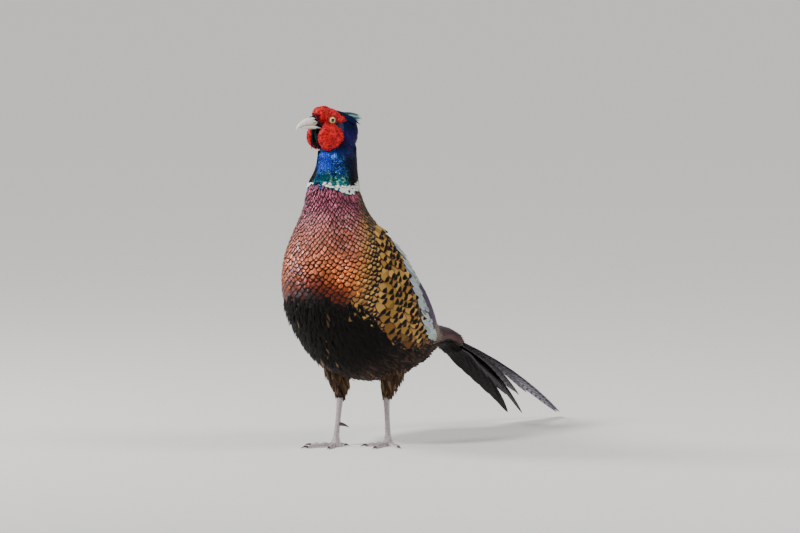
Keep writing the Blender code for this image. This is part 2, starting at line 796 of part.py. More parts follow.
def make_shank(word, hock, foot):
    """Shank and ball of the foot, down to a little under the floor, where it is cut flat."""
    rings = []
    for share, across, deep in (
        (0.0, 0.0046, 0.0052),
        (0.08, 0.0048, 0.0056),
        (0.25, 0.0038, 0.0046),
        (0.55, 0.0036, 0.0043),
        (0.78, 0.0042, 0.0048),
        (0.87, 0.0062, 0.0062),
        (0.93, PAD_RADIUS, PAD_RADIUS),
        (0.98, PAD_RADIUS, PAD_RADIUS),
        (1.01, PAD_RADIUS * 0.8, PAD_RADIUS * 0.8),
    ):
        rings.append(oval_ring(hock.lerp(foot, share), LEFTWARD, BACKWARD, across, deep, 14))
    return loft("shank_" + word, rings)


def floor_cutter():
    """A block under the floor, which flattens what reaches below it."""
    return box("floor_cutter", (-0.2, -0.3, -0.03), (0.2, 0.3, 0.0))


def toes(word, side, place, around):
    """Each toe with a swelling at every joint, lying flat on the floor, and its claw."""
    for name, (turn, length, claw) in TOES.items():
        aim = place @ Matrix.Rotation(math.radians(turn) * side, 4, "Z")
        rings = []
        for share in TOE_STEPS:
            reach = TOE_START + (length - TOE_START) * share
            swell = 1.0 + 0.10 * math.cos(share * 2 * math.pi * 2.6)
            half = (0.0027 - 0.0007 * share) * swell
            high = (0.0035 - 0.0010 * share) * swell
            middle = Vector((0.0, -reach, high - 0.0006))
            rings.append(oval_ring(middle, LEFTWARD, UPWARD, half, high, 8))
        toe = loft(f"toe_{word}_{name}", rings)
        toe.data.transform(aim)
        cut(toe, [floor_cutter()])
        cut(toe, [around], keep_cutters=True)
        finish(toe, "leg")
        rings = []
        for share, size, rise in CLAW:
            middle = Vector((0.0, -(length + GAP + claw * share), 0.0021 + rise))
            rings.append(oval_ring(middle, LEFTWARD, UPWARD, 0.0016 * size, 0.0018 * size, 8))
        nail = loft(f"claw_{word}_{name}", rings)
        nail.data.transform(aim)
        finish(nail, "claw")


def spur(word, side, hock, foot, place, around):
    """The cock's horn spur, low on the back of the shank and towards the other leg."""
    root = hock.lerp(foot, 0.54)
    aim = place.to_3x3() @ Vector((-0.55 * side, 0.83, -0.10))
    aim.normalize()
    across = aim.cross(UPWARD).normalized()
    up = across.cross(aim).normalized()
    rings = []
    for reach, size, droop in SPUR:
        rings.append(oval_ring(root + aim * reach - up * droop, across, up, size, size, 10))
    made = loft("spur_" + word, rings)
    cut(made, [around], keep_cutters=True)
    return finish(made, "claw")


def place_on_origin():
    """Moves the whole bird so that the centre of its bounding box's underside is the origin."""
    corners = [vert.co for obj in bird.objects for vert in obj.data.vertices]
    low = Vector([min(c[i] for c in corners) for i in range(3)])
    high = Vector([max(c[i] for c in corners) for i in range(3)])
    shift = Vector((-(low.x + high.x) / 2, -(low.y + high.y) / 2, -low.z))
    for obj in bird.objects:
        obj.location = shift


clear_scene()
bird = new_collection("pheasant")
cutter_group = new_collection("cutters")
cutter_group.hide_render = True
make_head()
finish(trunk_slice("neck", NECK), "iridescent")
finish(trunk_slice("collar", COLLAR), "white")
finish(trunk_slice("torso", TORSO), "copper")
finish(rump(), "maroon")
for wing_side, wing_word in ((1, "left"), (-1, "right")):
    folded = wing(wing_side)
    folded.name = "wing_" + wing_word
    finish(folded, "slate")
finish(tail(), "tail")
for leg_word in LEGS:
    leg(leg_word)
place_on_origin()
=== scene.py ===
import math

import bpy
import numpy as np
from mathutils import Matrix, Vector
from mathutils.kdtree import KDTree


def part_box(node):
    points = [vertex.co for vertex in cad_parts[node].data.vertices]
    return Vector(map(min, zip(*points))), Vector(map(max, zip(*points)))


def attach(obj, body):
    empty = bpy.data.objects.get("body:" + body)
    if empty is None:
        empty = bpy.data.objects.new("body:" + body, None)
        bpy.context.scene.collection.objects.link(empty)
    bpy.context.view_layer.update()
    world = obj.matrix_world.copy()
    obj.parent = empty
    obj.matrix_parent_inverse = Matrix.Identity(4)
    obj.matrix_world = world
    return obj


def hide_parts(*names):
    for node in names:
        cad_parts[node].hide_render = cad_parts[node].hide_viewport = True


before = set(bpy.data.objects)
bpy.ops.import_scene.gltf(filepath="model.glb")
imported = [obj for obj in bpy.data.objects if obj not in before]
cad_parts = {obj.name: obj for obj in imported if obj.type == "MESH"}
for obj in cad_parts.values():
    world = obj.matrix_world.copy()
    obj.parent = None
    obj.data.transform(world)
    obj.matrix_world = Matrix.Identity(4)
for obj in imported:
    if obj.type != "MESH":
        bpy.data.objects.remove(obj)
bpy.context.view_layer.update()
dice = np.random.default_rng(7)

# The bird faces -Y, its left side is +X, and sizes are in metres unless a name says mm.
# Side profile of neck and trunk, a row for each station from the throat (0) to the tail's root (18) and a
# little past it: belly point (y, z), back point (y, z), half width.
trunkShape = np.array([
    (-0.0970, 0.4350, -0.0310, 0.4310, 0.0240),
    (-0.0990, 0.4180, -0.0310, 0.4140, 0.0262),
    (-0.1050, 0.4030, -0.0310, 0.3990, 0.0292),
    (-0.1140, 0.3900, -0.0315, 0.3860, 0.0333),  # 3, within the white ring
    (-0.1170, 0.3740, -0.0310, 0.3750, 0.0360),
    (-0.1200, 0.3480, -0.0270, 0.3600, 0.0415),
    (-0.1320, 0.3140, -0.0180, 0.3430, 0.0530),
    (-0.1420, 0.2750, -0.0050, 0.3260, 0.0680),
    (-0.1430, 0.2310, 0.0130, 0.3060, 0.0790),
    (-0.1290, 0.1880, 0.0340, 0.2840, 0.0840),
    (-0.0990, 0.1480, 0.0560, 0.2600, 0.0845),  # 10, widest
    (-0.0620, 0.1170, 0.0790, 0.2360, 0.0810),
    (-0.0120, 0.1010, 0.1000, 0.2140, 0.0735),
    (0.0350, 0.0980, 0.1190, 0.1950, 0.0635),
    (0.0740, 0.1060, 0.1350, 0.1810, 0.0525),
    (0.1060, 0.1180, 0.1500, 0.1720, 0.0425),
    (0.1340, 0.1280, 0.1680, 0.1660, 0.0345),
    (0.1650, 0.1340, 0.1880, 0.1610, 0.0280),
    (0.1960, 0.1320, 0.2120, 0.1550, 0.0225),  # 18, the tail's root
    (0.2215, 0.1205, 0.2375, 0.1440, 0.0195),
])

head = {
    "centre": Vector((-0.0060, -0.0720, 0.4790)),  # midway between the eyes
    "turn": -29.0,  # degrees, to the bird's right
    "eye": (0.0112, -0.0045, 0.0),  # the left eye's centre in the head's own axes
}
headAxes = Matrix.Translation(head["centre"]) @ Matrix.Rotation(math.radians(head["turn"]), 4, "Z")
headTurn = np.array(headAxes)[:3, :3].T  # from directions in the head's axes to the bird's
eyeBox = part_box("eye_left")
bodyShift = np.array((eyeBox[0] + eyeBox[1]) / 2 - headAxes @ Vector(head["eye"]))  # to the frame's axes
leftward, backward, upward = np.eye(3)


def linear(hexColour):
    channels = [int(hexColour[i:i + 2], 16) / 255 for i in (1, 3, 5)]
    return tuple(c / 12.92 if c <= 0.04045 else ((c + 0.055) / 1.055) ** 2.4 for c in channels)


modes = {
    "Math": "operation", "VectorMath": "operation", "Mix": "data_type", "MapRange": "interpolation_type",
}


def outlet(made, text):
    # the output that "row" or "row.output" names, or None where there is no such row
    row, _, output = text.partition(".")
    if row not in made:
        return None
    usual = 2 if made[row].bl_idname == "ShaderNodeMix" else 0
    return made[row].outputs[int(output) if output.isdigit() else output or usual]


def addNodes(tree, rows):
    # A row is a name, a kind (a space, then its mode), inputs in order, and settings and inputs by name.
    made = {}
    for name, kind, *values in rows:
        kind, _, mode = kind.partition(" ")
        node = tree.nodes.new(kind if "Node" in kind else "ShaderNode" + kind)
        named = values.pop() if values and isinstance(values[-1], dict) else {}
        if mode:
            setattr(node, modes[kind], mode)
        sockets = (0, 6, 7) if kind == "Mix" else range(len(values))  # a mix's share and two colours
        for socket, value in [*zip(sockets, values), *named.items()]:
            source = outlet(made, value) if isinstance(value, str) else None
            if source is not None:
                tree.links.new(source, node.inputs[socket])
            elif socket == "stops":
                for k, (position, hexColour) in enumerate(value):
                    stop = node.color_ramp.elements[k] if k < 2 else node.color_ramp.elements.new(position)
                    stop.position, stop.color = position, linear(hexColour) + (1.0,)
            elif isinstance(socket, str) and socket[0].islower():
                setattr(node, socket, value)
            else:
                colour = isinstance(value, str) and value[0] == "#"
                node.inputs[socket].default_value = linear(value) + (1.0,) if colour else value
        made[name] = node
    return made


def makeMaterial(name, settings, rows):
    # the rows called colour and bump feed the shader
    material = bpy.data.materials.new(name)
    material.use_nodes = True
    tree = material.node_tree
    shader = tree.nodes["Principled BSDF"]
    for socket, value in settings.items():
        shader.inputs[socket].default_value = value
    made = addNodes(tree, rows)
    tree.links.new(outlet(made, "colour"), shader.inputs["Base Color"])
    if "bump" in made:
        tree.links.new(made["bump"].outputs[0], shader.inputs["Normal"])
    return material


# Keratin vanes: soft dark rims, tip spots, a pale shaft, and barbs that catch the light in slanting lines.
featherLooks = {
    # name: metallic for the structural colour, roughness, specular level, sheen, sheen tint, barb and bar mm
    "keratinGlossVane": (0.85, 0.34, 0.5, 0.0, "#7f9bff", 0.9, 0.0),
    "keratinCopperVane": (0.55, 0.31, 0.4, 0.05, "#ffc8e8", 1.0, 0.0),
    "keratinMattVane": (0.0, 0.60, 0.12, 0.02, "#ffffff", 1.0, 0.0),
    "keratinBarredVane": (0.06, 0.50, 0.22, 0.02, "#e8c8ff", 1.2, 13.0),
}


def featherMaterial(name, metallic, roughness, specular, sheen, sheenTint, barb, bars):
    rows = [
        ("place", "UVMap", {"uv_map": "featherUV"}),
        ("where", "SeparateXYZ", "place"),
        ("size", "Attribute", {"attribute_name": "featherSize"}),
        ("sizes", "SeparateXYZ", "size.Vector"),  # length, half width, how far from the edge, in mm
        ("tint", "Attribute", {"attribute_name": "featherTint"}),
        ("rim", "Attribute", {"attribute_name": "featherRim"}),  # alpha: the rim's width in mm
        ("mark", "Attribute", {"attribute_name": "featherMark"}),
        ("marks", "SeparateXYZ", "mark.Vector"),  # strengths of spot, shaft and bars
        ("middle", "Math SUBTRACT", "where.X", 0.5),
        ("fromShaft", "Math ABSOLUTE", "middle"),
        ("across", "Math MULTIPLY", "fromShaft", 2.0),
        # barbs run out and forward from the shaft
        ("alongMm", "Math MULTIPLY", "where.Y", "sizes.X"),
        ("acrossMm", "Math MULTIPLY", "across", "sizes.Y"),
        ("slant", "Math SUBTRACT", "alongMm", "acrossMm"),
        ("turns", "Math MULTIPLY", "slant", 2 * math.pi / barb),
        ("ridge", "Math SINE", "turns"),
        ("streak", "CombineXYZ", "acrossMm", "slant"),
        ("split", "TexNoise", {"Vector": "streak", "Scale": 0.9, "Detail": 2.0}),
        # the rim, a little frayed
        ("rough", "Math MULTIPLY_ADD", "split", -0.7, 0.35),
        ("edge", "Math ADD", "sizes.Z", "rough"),
        ("inner", "Math MULTIPLY", "rim.Alpha", 1.25),
        ("outer", "Math MULTIPLY", "rim.Alpha", 0.75),
        ("rimShare", "MapRange SMOOTHSTEP", "edge", "inner", "outer", 0.0, 1.0),
        # the oval spot near the tip
        ("spotAcross", "Math DIVIDE", "across", 0.88),
        ("spotUp", "Math SUBTRACT", "where.Y", 0.86),
        ("spotAlong", "Math DIVIDE", "spotUp", 0.12),
        ("spotFlat", "CombineXYZ", "spotAcross", "spotAlong"),
        ("spotReach", "VectorMath LENGTH", "spotFlat"),
        ("spotEdge", "Math MULTIPLY_ADD", "split", 0.35, -0.17),
        ("spotRound", "Math ADD", "spotReach.Value", "spotEdge"),
        ("spot", "MapRange SMOOTHSTEP", "spotRound", 1.1, 0.88, 0.0, "marks.X"),
        ("shaft", "MapRange SMOOTHSTEP", "acrossMm", 0.7, 0.3, 0.0, "marks.Y"),
        # barbs darken a little between their ridges
        ("dark", "Math MULTIPLY_ADD", "ridge", 0.07, 0.80),
        ("shade", "Math MULTIPLY_ADD", "split", 0.34, "dark"),
        ("ground", "VectorMath SCALE", "tint.Color", {"Scale": "shade"}),
        ("rimmed", "Mix RGBA", "rimShare", "ground", "rim.Color"),
        ("spotted", "Mix RGBA", "spot", "rimmed", "#0c0806"),
        ("lined" if bars else "colour", "Mix RGBA", "shaft", "spotted", "#cdb58a"),
        ("bump", "Bump", {"Strength": 0.35, "Distance": 0.0002, "Height": "ridge"}),
    ]
    if bars:
        rows += [
            ("barTurns", "Math MULTIPLY", "slant", 2 * math.pi / bars),
            ("barWave", "Math SINE", "barTurns"),
            ("barRagged", "Math ADD", "barWave", "split"),
            ("barShare", "MapRange SMOOTHSTEP", "barRagged", 0.80, 1.05, 0.0, "marks.Z"),
            ("colour", "Mix RGBA", "barShare", "lined", "#120b0c"),
        ]
    return makeMaterial(name, {
        "Metallic": metallic, "Roughness": roughness, "Specular IOR Level": specular, "Sheen Weight": sheen,
        "Sheen Roughness": 0.4, "Sheen Tint": linear(sheenTint) + (1.0,)}, rows)


def splineRows(table, where):
    # a smooth curve through the table's rows
    last = len(table) - 1
    i = np.clip(np.floor(where).astype(int), 0, last - 1)
    f = (where - i)[..., None]
    a, b, c, d = (table[np.clip(i + k, 0, last)] for k in (-1, 0, 1, 2))
    return 0.5 * (2 * b + (c - a) * f + (2 * a - 5 * b + 4 * c - d) * f**2 + (3 * b - a - 3 * c + d) * f**3)


def trunkSurface(stations, angles):
    # angle 0 is the belly line, 90 the left side, 180 the back
    bellyY, bellyZ, backY, backZ, half = np.moveaxis(splineRows(trunkShape, stations), -1, 0)
    turn = np.radians(angles)
    share = -np.cos(turn)
    return np.stack([
        half * np.sin(turn),
        (bellyY + backY) / 2 + (backY - bellyY) / 2 * share,
        (bellyZ + backZ) / 2 + (backZ - bellyZ) / 2 * share,
    ], axis=-1)


def unit(vectors):
    return vectors / np.maximum(np.linalg.norm(vectors, axis=-1, keepdims=True), 1e-9)


def slopes(surface, p, q):
    # how the surface runs over a small step of p and over one degree of q, either way
    step = 0.02 if surface is trunkSurface else 0.01
    along = surface(p + step, q) - surface(p - step, q)
    return along, surface(p, q + 1.0) - surface(p, q - 1.0), step


def lifted(surface, p, q, lift):
    # the surface's point at (p, q), moved out along its normal
    along, aside, _ = slopes(surface, p, q)
    return surface(p, q) + unit(np.cross(along, aside)) * np.asarray(lift)[..., None]


def surfaceScale(surface, p, q):
    # metres for each step of p and each degree of q
    along, aside, step = slopes(surface, p, q)
    along, aside = (np.linalg.norm(value, axis=-1) for value in (along, aside))
    return along / (2 * step), np.maximum(aside / 2.0, 1e-5)


# Outlines of feathers from root to tip: how far along, and the width there as a part of the greatest.
outlines = {
    "scale": ((0.0, 0.4), (0.35, 0.85), (0.6, 1.0), (0.76, 0.95), (0.87, 0.76), (0.95, 0.46), (1.0, 0.10)),
    "point": ((0.0, 0.4), (0.3, 0.85), (0.55, 1.0), (0.72, 0.86), (0.87, 0.50), (1.0, 0.04)),
    "small": ((0.0, 0.5), (0.45, 1.0), (0.8, 0.72), (1.0, 0.10)),
    "lax": ((0.0, 0.35), (0.25, 0.8), (0.45, 1.0), (0.65, 0.78), (0.85, 0.42), (1.0, 0.05)),
    "quill": ((0.0, 0.5), (0.08, 0.7), (0.2, 0.92), (0.35, 1.0), (0.5, 1.0), (0.62, 0.95), (0.73, 0.86),
              (0.82, 0.70), (0.89, 0.54), (0.94, 0.38), (0.98, 0.20), (1.0, 0.06)),
    "blunt": ((0.0, 0.5), (0.15, 0.75), (0.35, 0.95), (0.6, 1.0), (0.8, 0.92), (0.9, 0.74), (0.96, 0.48),
              (1.0, 0.15)),
}
vaneColumns = {"small": (-1.0, 0.0, 1.0)}  # points across a feather, where they aren't the usual five
usualColumns = (-1.0, -0.55, 0.0, 0.55, 1.0)
laidVane = {"camber": 0.20, "late": 1.4}  # hollow of a laid feather, and how late along it its tip rises


def vaneShape(outline):
    # at each point of a feather: how far along, the width there, and how far across
    shape = np.array(outlines[outline])[None]
    return shape[..., :1], shape[..., 1:], np.array(vaneColumns.get(outline, usualColumns))[None, None]


def layFeathers(surface, p, q, length, half, lifts, turn, outline):
    # feathers that follow a surface, as a grid of points for each: (feather, row, column, xyz)
    v, w, u = vaneShape(outline)
    perP, perQ = surfaceScale(surface, p, q)
    values = (*lifts, length, half, turn, perP, perQ, p, q)
    rootLift, tipLift, length, half, turn, perP, perQ, p, q = (
        np.broadcast_to(value, p.shape)[:, None, None] for value in values)
    along = v * length + 0.0 * u
    across = u * w * half
    rise = (tipLift - rootLift) * v**laidVane["late"]
    lift = rootLift + rise + laidVane["camber"] * half * w * (1 - u**2)
    cosine, sine = np.cos(turn), np.sin(turn)
    return lifted(
        surface, p + (along * cosine - across * sine) / perP,
        q + (across * cosine + along * sine) / perQ, lift)


def standFeathers(points, normals, flows, length, half, rise, outline, camber, bend):
    # straight small feathers on given points: rise is how steeply they stand, bend curls their tips down
    across = unit(np.cross(normals, flows))
    along = unit(np.cross(across, normals))
    rise = np.broadcast_to(rise, len(points))[:, None]
    aim = unit(along + normals * rise)
    up = unit(np.cross(aim, across))
    up = up * np.sign(np.sum(up * normals, axis=1))[:, None]
    v, w, u = (value[..., None] for value in vaneShape(outline))
    length, half = (np.broadcast_to(value, len(points))[:, None, None, None] for value in (length, half))
    across, aim, up, points = (value[:, None, None, :] for value in (across, aim, up, points))
    return (points + aim * v * length + across * u * w * half
            + up * (camber * half * w * (1 - u**2) - bend * length * v**2))


def closeVanes(grid):
    # faces of thin closed vanes: the grid on top, one strip beneath and a cap at each end
    count, rows, cols = grid.shape[:3]
    index = np.arange(rows * cols).reshape(rows, cols)
    top = np.stack([index[:-1, :-1], index[1:, :-1], index[1:, 1:], index[:-1, 1:]], -1).reshape(-1, 4)
    under = np.stack([index[:-1, 0], index[:-1, -1], index[1:, -1], index[1:, 0]], -1)
    loops = np.concatenate([top.ravel(), under.ravel(), index[0], index[-1][::-1]])
    sizes = np.array([4] * (len(top) + len(under)) + [cols] * 2)
    offsets = np.arange(count)[:, None] * rows * cols
    return grid.reshape(-1, 3), (loops[None, :] + offsets).ravel(), np.tile(sizes, count)


def tube(rings):
    # faces of a closed loft through rings of equal count, (ring, point, xyz)
    rows, cols = rings.shape[:2]
    index = np.arange(rows * cols).reshape(rows, cols)
    after = np.roll(index, -1, axis=1)
    side = np.stack([index[:-1], after[:-1], after[1:], index[1:]], -1).reshape(-1, 4)
    loops = np.concatenate([side.ravel(), index[0][::-1], index[-1]])
    return rings.reshape(-1, 3), loops, np.array([4] * len(side) + [cols] * 2)


def joined(parts):
    # several (points, loops, sizes) as one
    points, loops, sizes = zip(*parts)
    bases = np.cumsum([0] + [len(one) for one in points])
    loops = [one + base for one, base in zip(loops, bases)]
    return np.concatenate(points), np.concatenate(loops), np.concatenate(sizes)


def meshPiece(name, made, material, colours, uvs=None):
    points, loops, sizes = made
    mesh = bpy.data.meshes.new(name)
    mesh.vertices.add(len(points))
    mesh.vertices.foreach_set("co", (points + bodyShift).astype(np.float32).ravel())
    mesh.loops.add(len(loops))
    mesh.loops.foreach_set("vertex_index", loops.astype(np.int32))
    mesh.polygons.add(len(sizes))
    mesh.polygons.foreach_set("loop_start", np.concatenate([[0], np.cumsum(sizes)[:-1]]).astype(np.int32))
    mesh.update(calc_edges=True)
    for label, values in (uvs or {}).items():
        mesh.uv_layers.new(name=label).data.foreach_set("uv", values[loops].astype(np.float32).ravel())
    for label, values in colours.items():
        layer = mesh.attributes.new(label, "FLOAT_COLOR", "POINT")
        layer.data.foreach_set("color", values.astype(np.float32).ravel())
    mesh.materials.append(material)
    mesh.shade_smooth()
    mesh.set_sharp_from_angle(angle=math.radians(55))
    piece = bpy.data.objects.new(name, mesh)
    bpy.context.scene.collection.objects.link(piece)
    return piece


def settle(piece, slot, *nodes):
    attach(piece, "root")
    if nodes:
        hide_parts(*nodes)


def hornPiece(name, rings, wearAndShade, material, slot, node):
    # a closed loft whose shader reads a share for each point: its wear, the height of scales, and on the
    # bill the painted shade in the nostril
    wearAndShade = np.broadcast_to(wearAndShade, rings.shape[:2])
    place = np.stack([0 * wearAndShade, wearAndShade, 0 * wearAndShade, 0 * wearAndShade + 1], -1).reshape(-1, 4)
    settle(meshPiece(name, tube(rings), material, {"hornPlace": place}), slot, node)


def coatPiece(name, batches, material, slot, *nodes):
    # one piece from batches of feathers that share an outline
    grid = np.concatenate([one["grid"] for one in batches])
    count, rows, cols = grid.shape[:3]
    each = rows * cols
    v, w, u = vaneShape(batches[0]["outline"])
    local = np.stack(np.broadcast_arrays((u + 1) / 2, v), -1).reshape(-1, 2)
    roots = np.concatenate([one["bake"] for one in batches])
    uvs = {
        "featherUV": np.tile(local, (count, 1)),
        "OFBake": np.repeat(roots, each, 0) + np.tile((local - 0.5) * 0.003, (count, 1)),
    }
    colours = {
        label: np.repeat(np.concatenate([one[label] for one in batches]), each, 0)
        for label in ("featherTint", "featherRim", "featherMark", "featherSize")}
    size = colours["featherSize"].reshape(count, rows, cols, 4)
    size[..., 2] = np.minimum((1 - np.abs(u)) * w * size[..., 1], (1 - v) * size[..., 0])  # mm from its edge
    piece = meshPiece(name, closeVanes(grid), material, colours, uvs)
    print(name, count, "feathers,", sum(len(face.vertices) - 2 for face in piece.data.polygons), "triangles")
    settle(piece, slot, *nodes)
    return piece


def batch(grid, outline, bake, tint, rim, rimMm, length, half, marks=(0.0, 0.0, 0.0)):
    # a batch of feathers with its colours: marks are the strengths of spot, shaft and bars
    count = len(grid)
    spot, shaft, bars, length, half, rimMm = (
        np.broadcast_to(np.asarray(value, float), (count,)) for value in (*marks, length, half, rimMm))
    ones = np.ones(count)
    return {
        "grid": grid,
        "outline": outline,
        "bake": bake,
        "featherTint": np.column_stack([np.broadcast_to(tint, (count, 3)), ones]),
        "featherRim": np.column_stack([np.broadcast_to(rim, (count, 3)), rimMm]),
        "featherMark": np.column_stack([spot, shaft, bars, ones]),
        "featherSize": np.column_stack([length * 1000, half * 1000, ones, ones]),
    }


def smooth(low, high, value):
    share = np.clip((value - low) / (high - low), 0.0, 1.0)
    return share * share * (3 - 2 * share)


def bell(middle, width, value):
    return np.exp(-((value - middle) / width) ** 2)


def mixed(one, two, share):
    return one * (1 - share[..., None]) + two * share[..., None]


def painted(tint, *coats):
    # colours laid one over the other, each with its share
    for colour, share in coats:
        tint = mixed(tint, hue[colour] if isinstance(colour, str) else colour, share)
    return tint


def uneven(amount, count, low, high):
    # factors about 1, one for each feather
    return (1 + amount * dice.standard_normal(count)).clip(low, high)


def varied(tint, amount):
    # each feather a little lighter or darker than the last
    return tint * uneven(amount, len(tint), 0.4, 1.8)[:, None]


def spread(stations):
    return dice.normal(0, 1, len(stations))


def trunkRows(tract):
    # rows of roots along the trunk, their spacing growing from the first row to the last
    fine = np.linspace(*tract["stations"], 500)
    path = trunkSurface(fine, np.full(500, float(tract["ref"])))
    run = np.concatenate([[0.0], np.cumsum(np.linalg.norm(np.diff(path, axis=0), axis=1))])
    rows, reach = [], 0.0
    while reach < run[-1]:
        station = np.interp(reach, run, fine)
        rowStep, step = (np.interp(reach / run[-1], (0, 1), tract[key]) for key in ("rowStep", "step"))
        low, high = (
            np.interp(station, *tract[key]) if isinstance(tract[key], tuple) else tract[key]
            for key in ("low", "high"))
        _, perDegree = surfaceScale(trunkSurface, np.array([station]), np.array([(low + high) / 2]))
        degrees = 360.0 / tract["around"] if "around" in tract else step / perDegree[0]
        shift = 0.5 * (len(rows) % 2)  # every other row stands half a step aside
        first = math.ceil(low / degrees - shift) + shift
        angles = np.arange(first * degrees, high - 0.001, degrees)
        stations = np.full(len(angles), station)
        _, perDegree = surfaceScale(trunkSurface, stations, angles)
        rows.append(np.stack([stations, angles, np.full(len(angles), rowStep), perDegree * degrees]))
        reach += rowStep
    roots = np.concatenate(rows, axis=1)
    if tract.get("bothSides"):
        roots = np.concatenate([roots, roots * np.array((1, -1, 1, 1))[:, None]], axis=1)
    stations, angles, rowSize, stepSize = roots
    perStation, perDegree = surfaceScale(trunkSurface, stations, angles)
    stray = tract.get("stray", 0.08)
    stations = stations + dice.normal(0, stray, len(stations)) * rowSize / perStation
    angles = angles + dice.normal(0, stray, len(angles)) * stepSize / perDegree
    return stations, (angles + 180) % 360 - 180, rowSize, stepSize


def trunkBake(stations, angles):
    return np.column_stack([0.02 + 0.96 * ((angles % 360) / 360), 0.02 + 0.95 * (stations + 1) / 20.5])


# Where the tracts of the plumage change, as (stations, degrees from the belly line) or the other way about.
flankEdge = ((4.0, 5.0, 6.0, 7.0, 8.0, 9.0, 10.0, 11.0, 12.0, 14.0),
             (124.0, 116.0, 108.0, 96.0, 79.0, 66.0, 65.0, 73.0, 88.0, 104.0))
bellyEdge = ((0.0, 14.0, 25.0, 35.0, 50.0, 58.0, 64.0, 71.0, 84.0, 100.0, 180.0),
             (7.65, 7.75, 7.95, 8.2, 8.5, 9.0, 10.0, 11.1, 12.0, 12.8, 14.5))
wingLow = ((7.0, 7.6, 8.4, 9.5, 11.0, 12.5, 14.0, 15.0),
           (141.0, 141.0, 134.0, 123.0, 113.0, 104.0, 102.0, 112.0))

# sky and mint serve only as painted highlights: glints on the neck's gloss
plumage = {
    # lilac serves only as painted highlight on the breast
    "neckRoyal": "#12309c", "neckBlue": "#0a2672", "neckTeal": "#0f7f78", "neckPurple": "#1c1056",
    "navy": "#0b1440", "white": "#e9e9e2", "highlightLilac": "#d8a2a6", "purple": "#96465c", "copper": "#ac5836",
    "orange": "#cc682c", "rust": "#702408", "gold": "#c2954e", "buff": "#9c7434", "sky": "#4a88d4",
    "glintMint": "#8fdcb8", "dusk": "#584a50", "mist": "#857e92", "black": "#080504", "umber": "#160c08",
    "chestnut": "#4e1d0d", "maroon": "#4a2230", "plum": "#3d2644", "grey": "#a9b3b6", "ash": "#6a7377",
    "brown": "#4d3324", "tan": "#8c6c48",
}
hue = {name: np.array(linear(hexColour)) for name, hexColour in plumage.items()}


def trunkSkinTint(stations, angles):
    # the ground colour of the plumage at any place, for skin and feathers alike
    wide = np.abs(angles)
    past = stations - np.interp(wide, *bellyEdge)
    back = mixed(hue["maroon"], hue["plum"], smooth(9.5, 12.5, stations))
    rump = mixed(hue["umber"], hue["maroon"], smooth(70, 110, wide))
    neck = mixed(hue["neckBlue"], hue["neckPurple"], smooth(60, 130, wide)) * 0.5
    trunk = painted(
        hue["purple"],
        ("copper", smooth(4.3, 6.3, stations)),
        ("orange", smooth(6.2, 7.5, stations)),
        ("buff", smooth(-30, 4, wide - np.interp(stations, *flankEdge))),
        ("rust", smooth(-1.0, -0.35, past)),
        ("chestnut", smooth(100, 128, wide)),
        ("black", smooth(-0.35, 0.25, past)),
        (back, smooth(8.0, 9.6, stations) * smooth(118, 140, wide)),
        (rump, smooth(13.0, 14.2, stations)))
    return mixed(neck, trunk, smooth(2.8, 3.2, stations))


print("shape and colours set out")


def oval(centre, across, up, halfAcross, halfUp, count=16, flat=1.0):
    # points round an oval spanned by two unit directions; flat under 1 squares it off
    turn = np.arange(count) * 2 * np.pi / count
    a = np.copysign(np.abs(np.cos(turn)) ** flat, np.cos(turn)) * halfAcross
    b = np.copysign(np.abs(np.sin(turn)) ** flat, np.sin(turn)) * halfUp
    return np.array(centre) + a[:, None] * np.array(across) + b[:, None] * np.array(up)


def turned(points, matrix):
    matrix = np.array(matrix)
    return points @ matrix[:3, :3].T + matrix[:3, 3]


def levelRings(sections, rows, count, flat=1.0):
    # rings along y, smooth between the sections (y, lowest z, highest z, half width)
    table = splineRows(np.array(sections), np.linspace(0, len(sections) - 1, rows))
    return np.stack([
        oval((0.0, y, (low + high) / 2), leftward, upward, half, (high - low) / 2, count, flat)
        for y, low, high, half in table])


def pulled(elements, key, width=1, kind=np.int32):
    # one property of every element as an array
    values = np.empty(len(elements) * width, kind)
    elements.foreach_get(key, values)
    return values.reshape(-1, width).astype(float) if width > 1 else values


def fused(parts, voxel, rounds):
    # overlapping closed forms as one smooth skin: (points, loops, sizes), normals
    points, loops, sizes = joined(parts)
    mesh = bpy.data.meshes.new("fusing")
    mesh.from_pydata(points.tolist(), [], [face.tolist() for face in np.split(loops, np.cumsum(sizes)[:-1])])
    holder = bpy.data.objects.new("fusing", mesh)
    bpy.context.scene.collection.objects.link(holder)
    fuse = holder.modifiers.new("fuse", "REMESH")
    fuse.mode = "VOXEL"
    fuse.voxel_size = voxel
    soften = holder.modifiers.new("soften", "SMOOTH")
    soften.factor = 0.5
    soften.iterations = rounds
    bpy.context.view_layer.update()
    graph = bpy.context.evaluated_depsgraph_get()
    mesh = bpy.data.meshes.new_from_object(holder.evaluated_get(graph))
    bpy.data.objects.remove(holder, do_unlink=True)
    made = (pulled(mesh.vertices, "co", 3, np.float32), pulled(mesh.loops, "vertex_index"),
            pulled(mesh.polygons, "loop_total"))
    return made, pulled(mesh.vertex_normals, "vector", 3, np.float32)


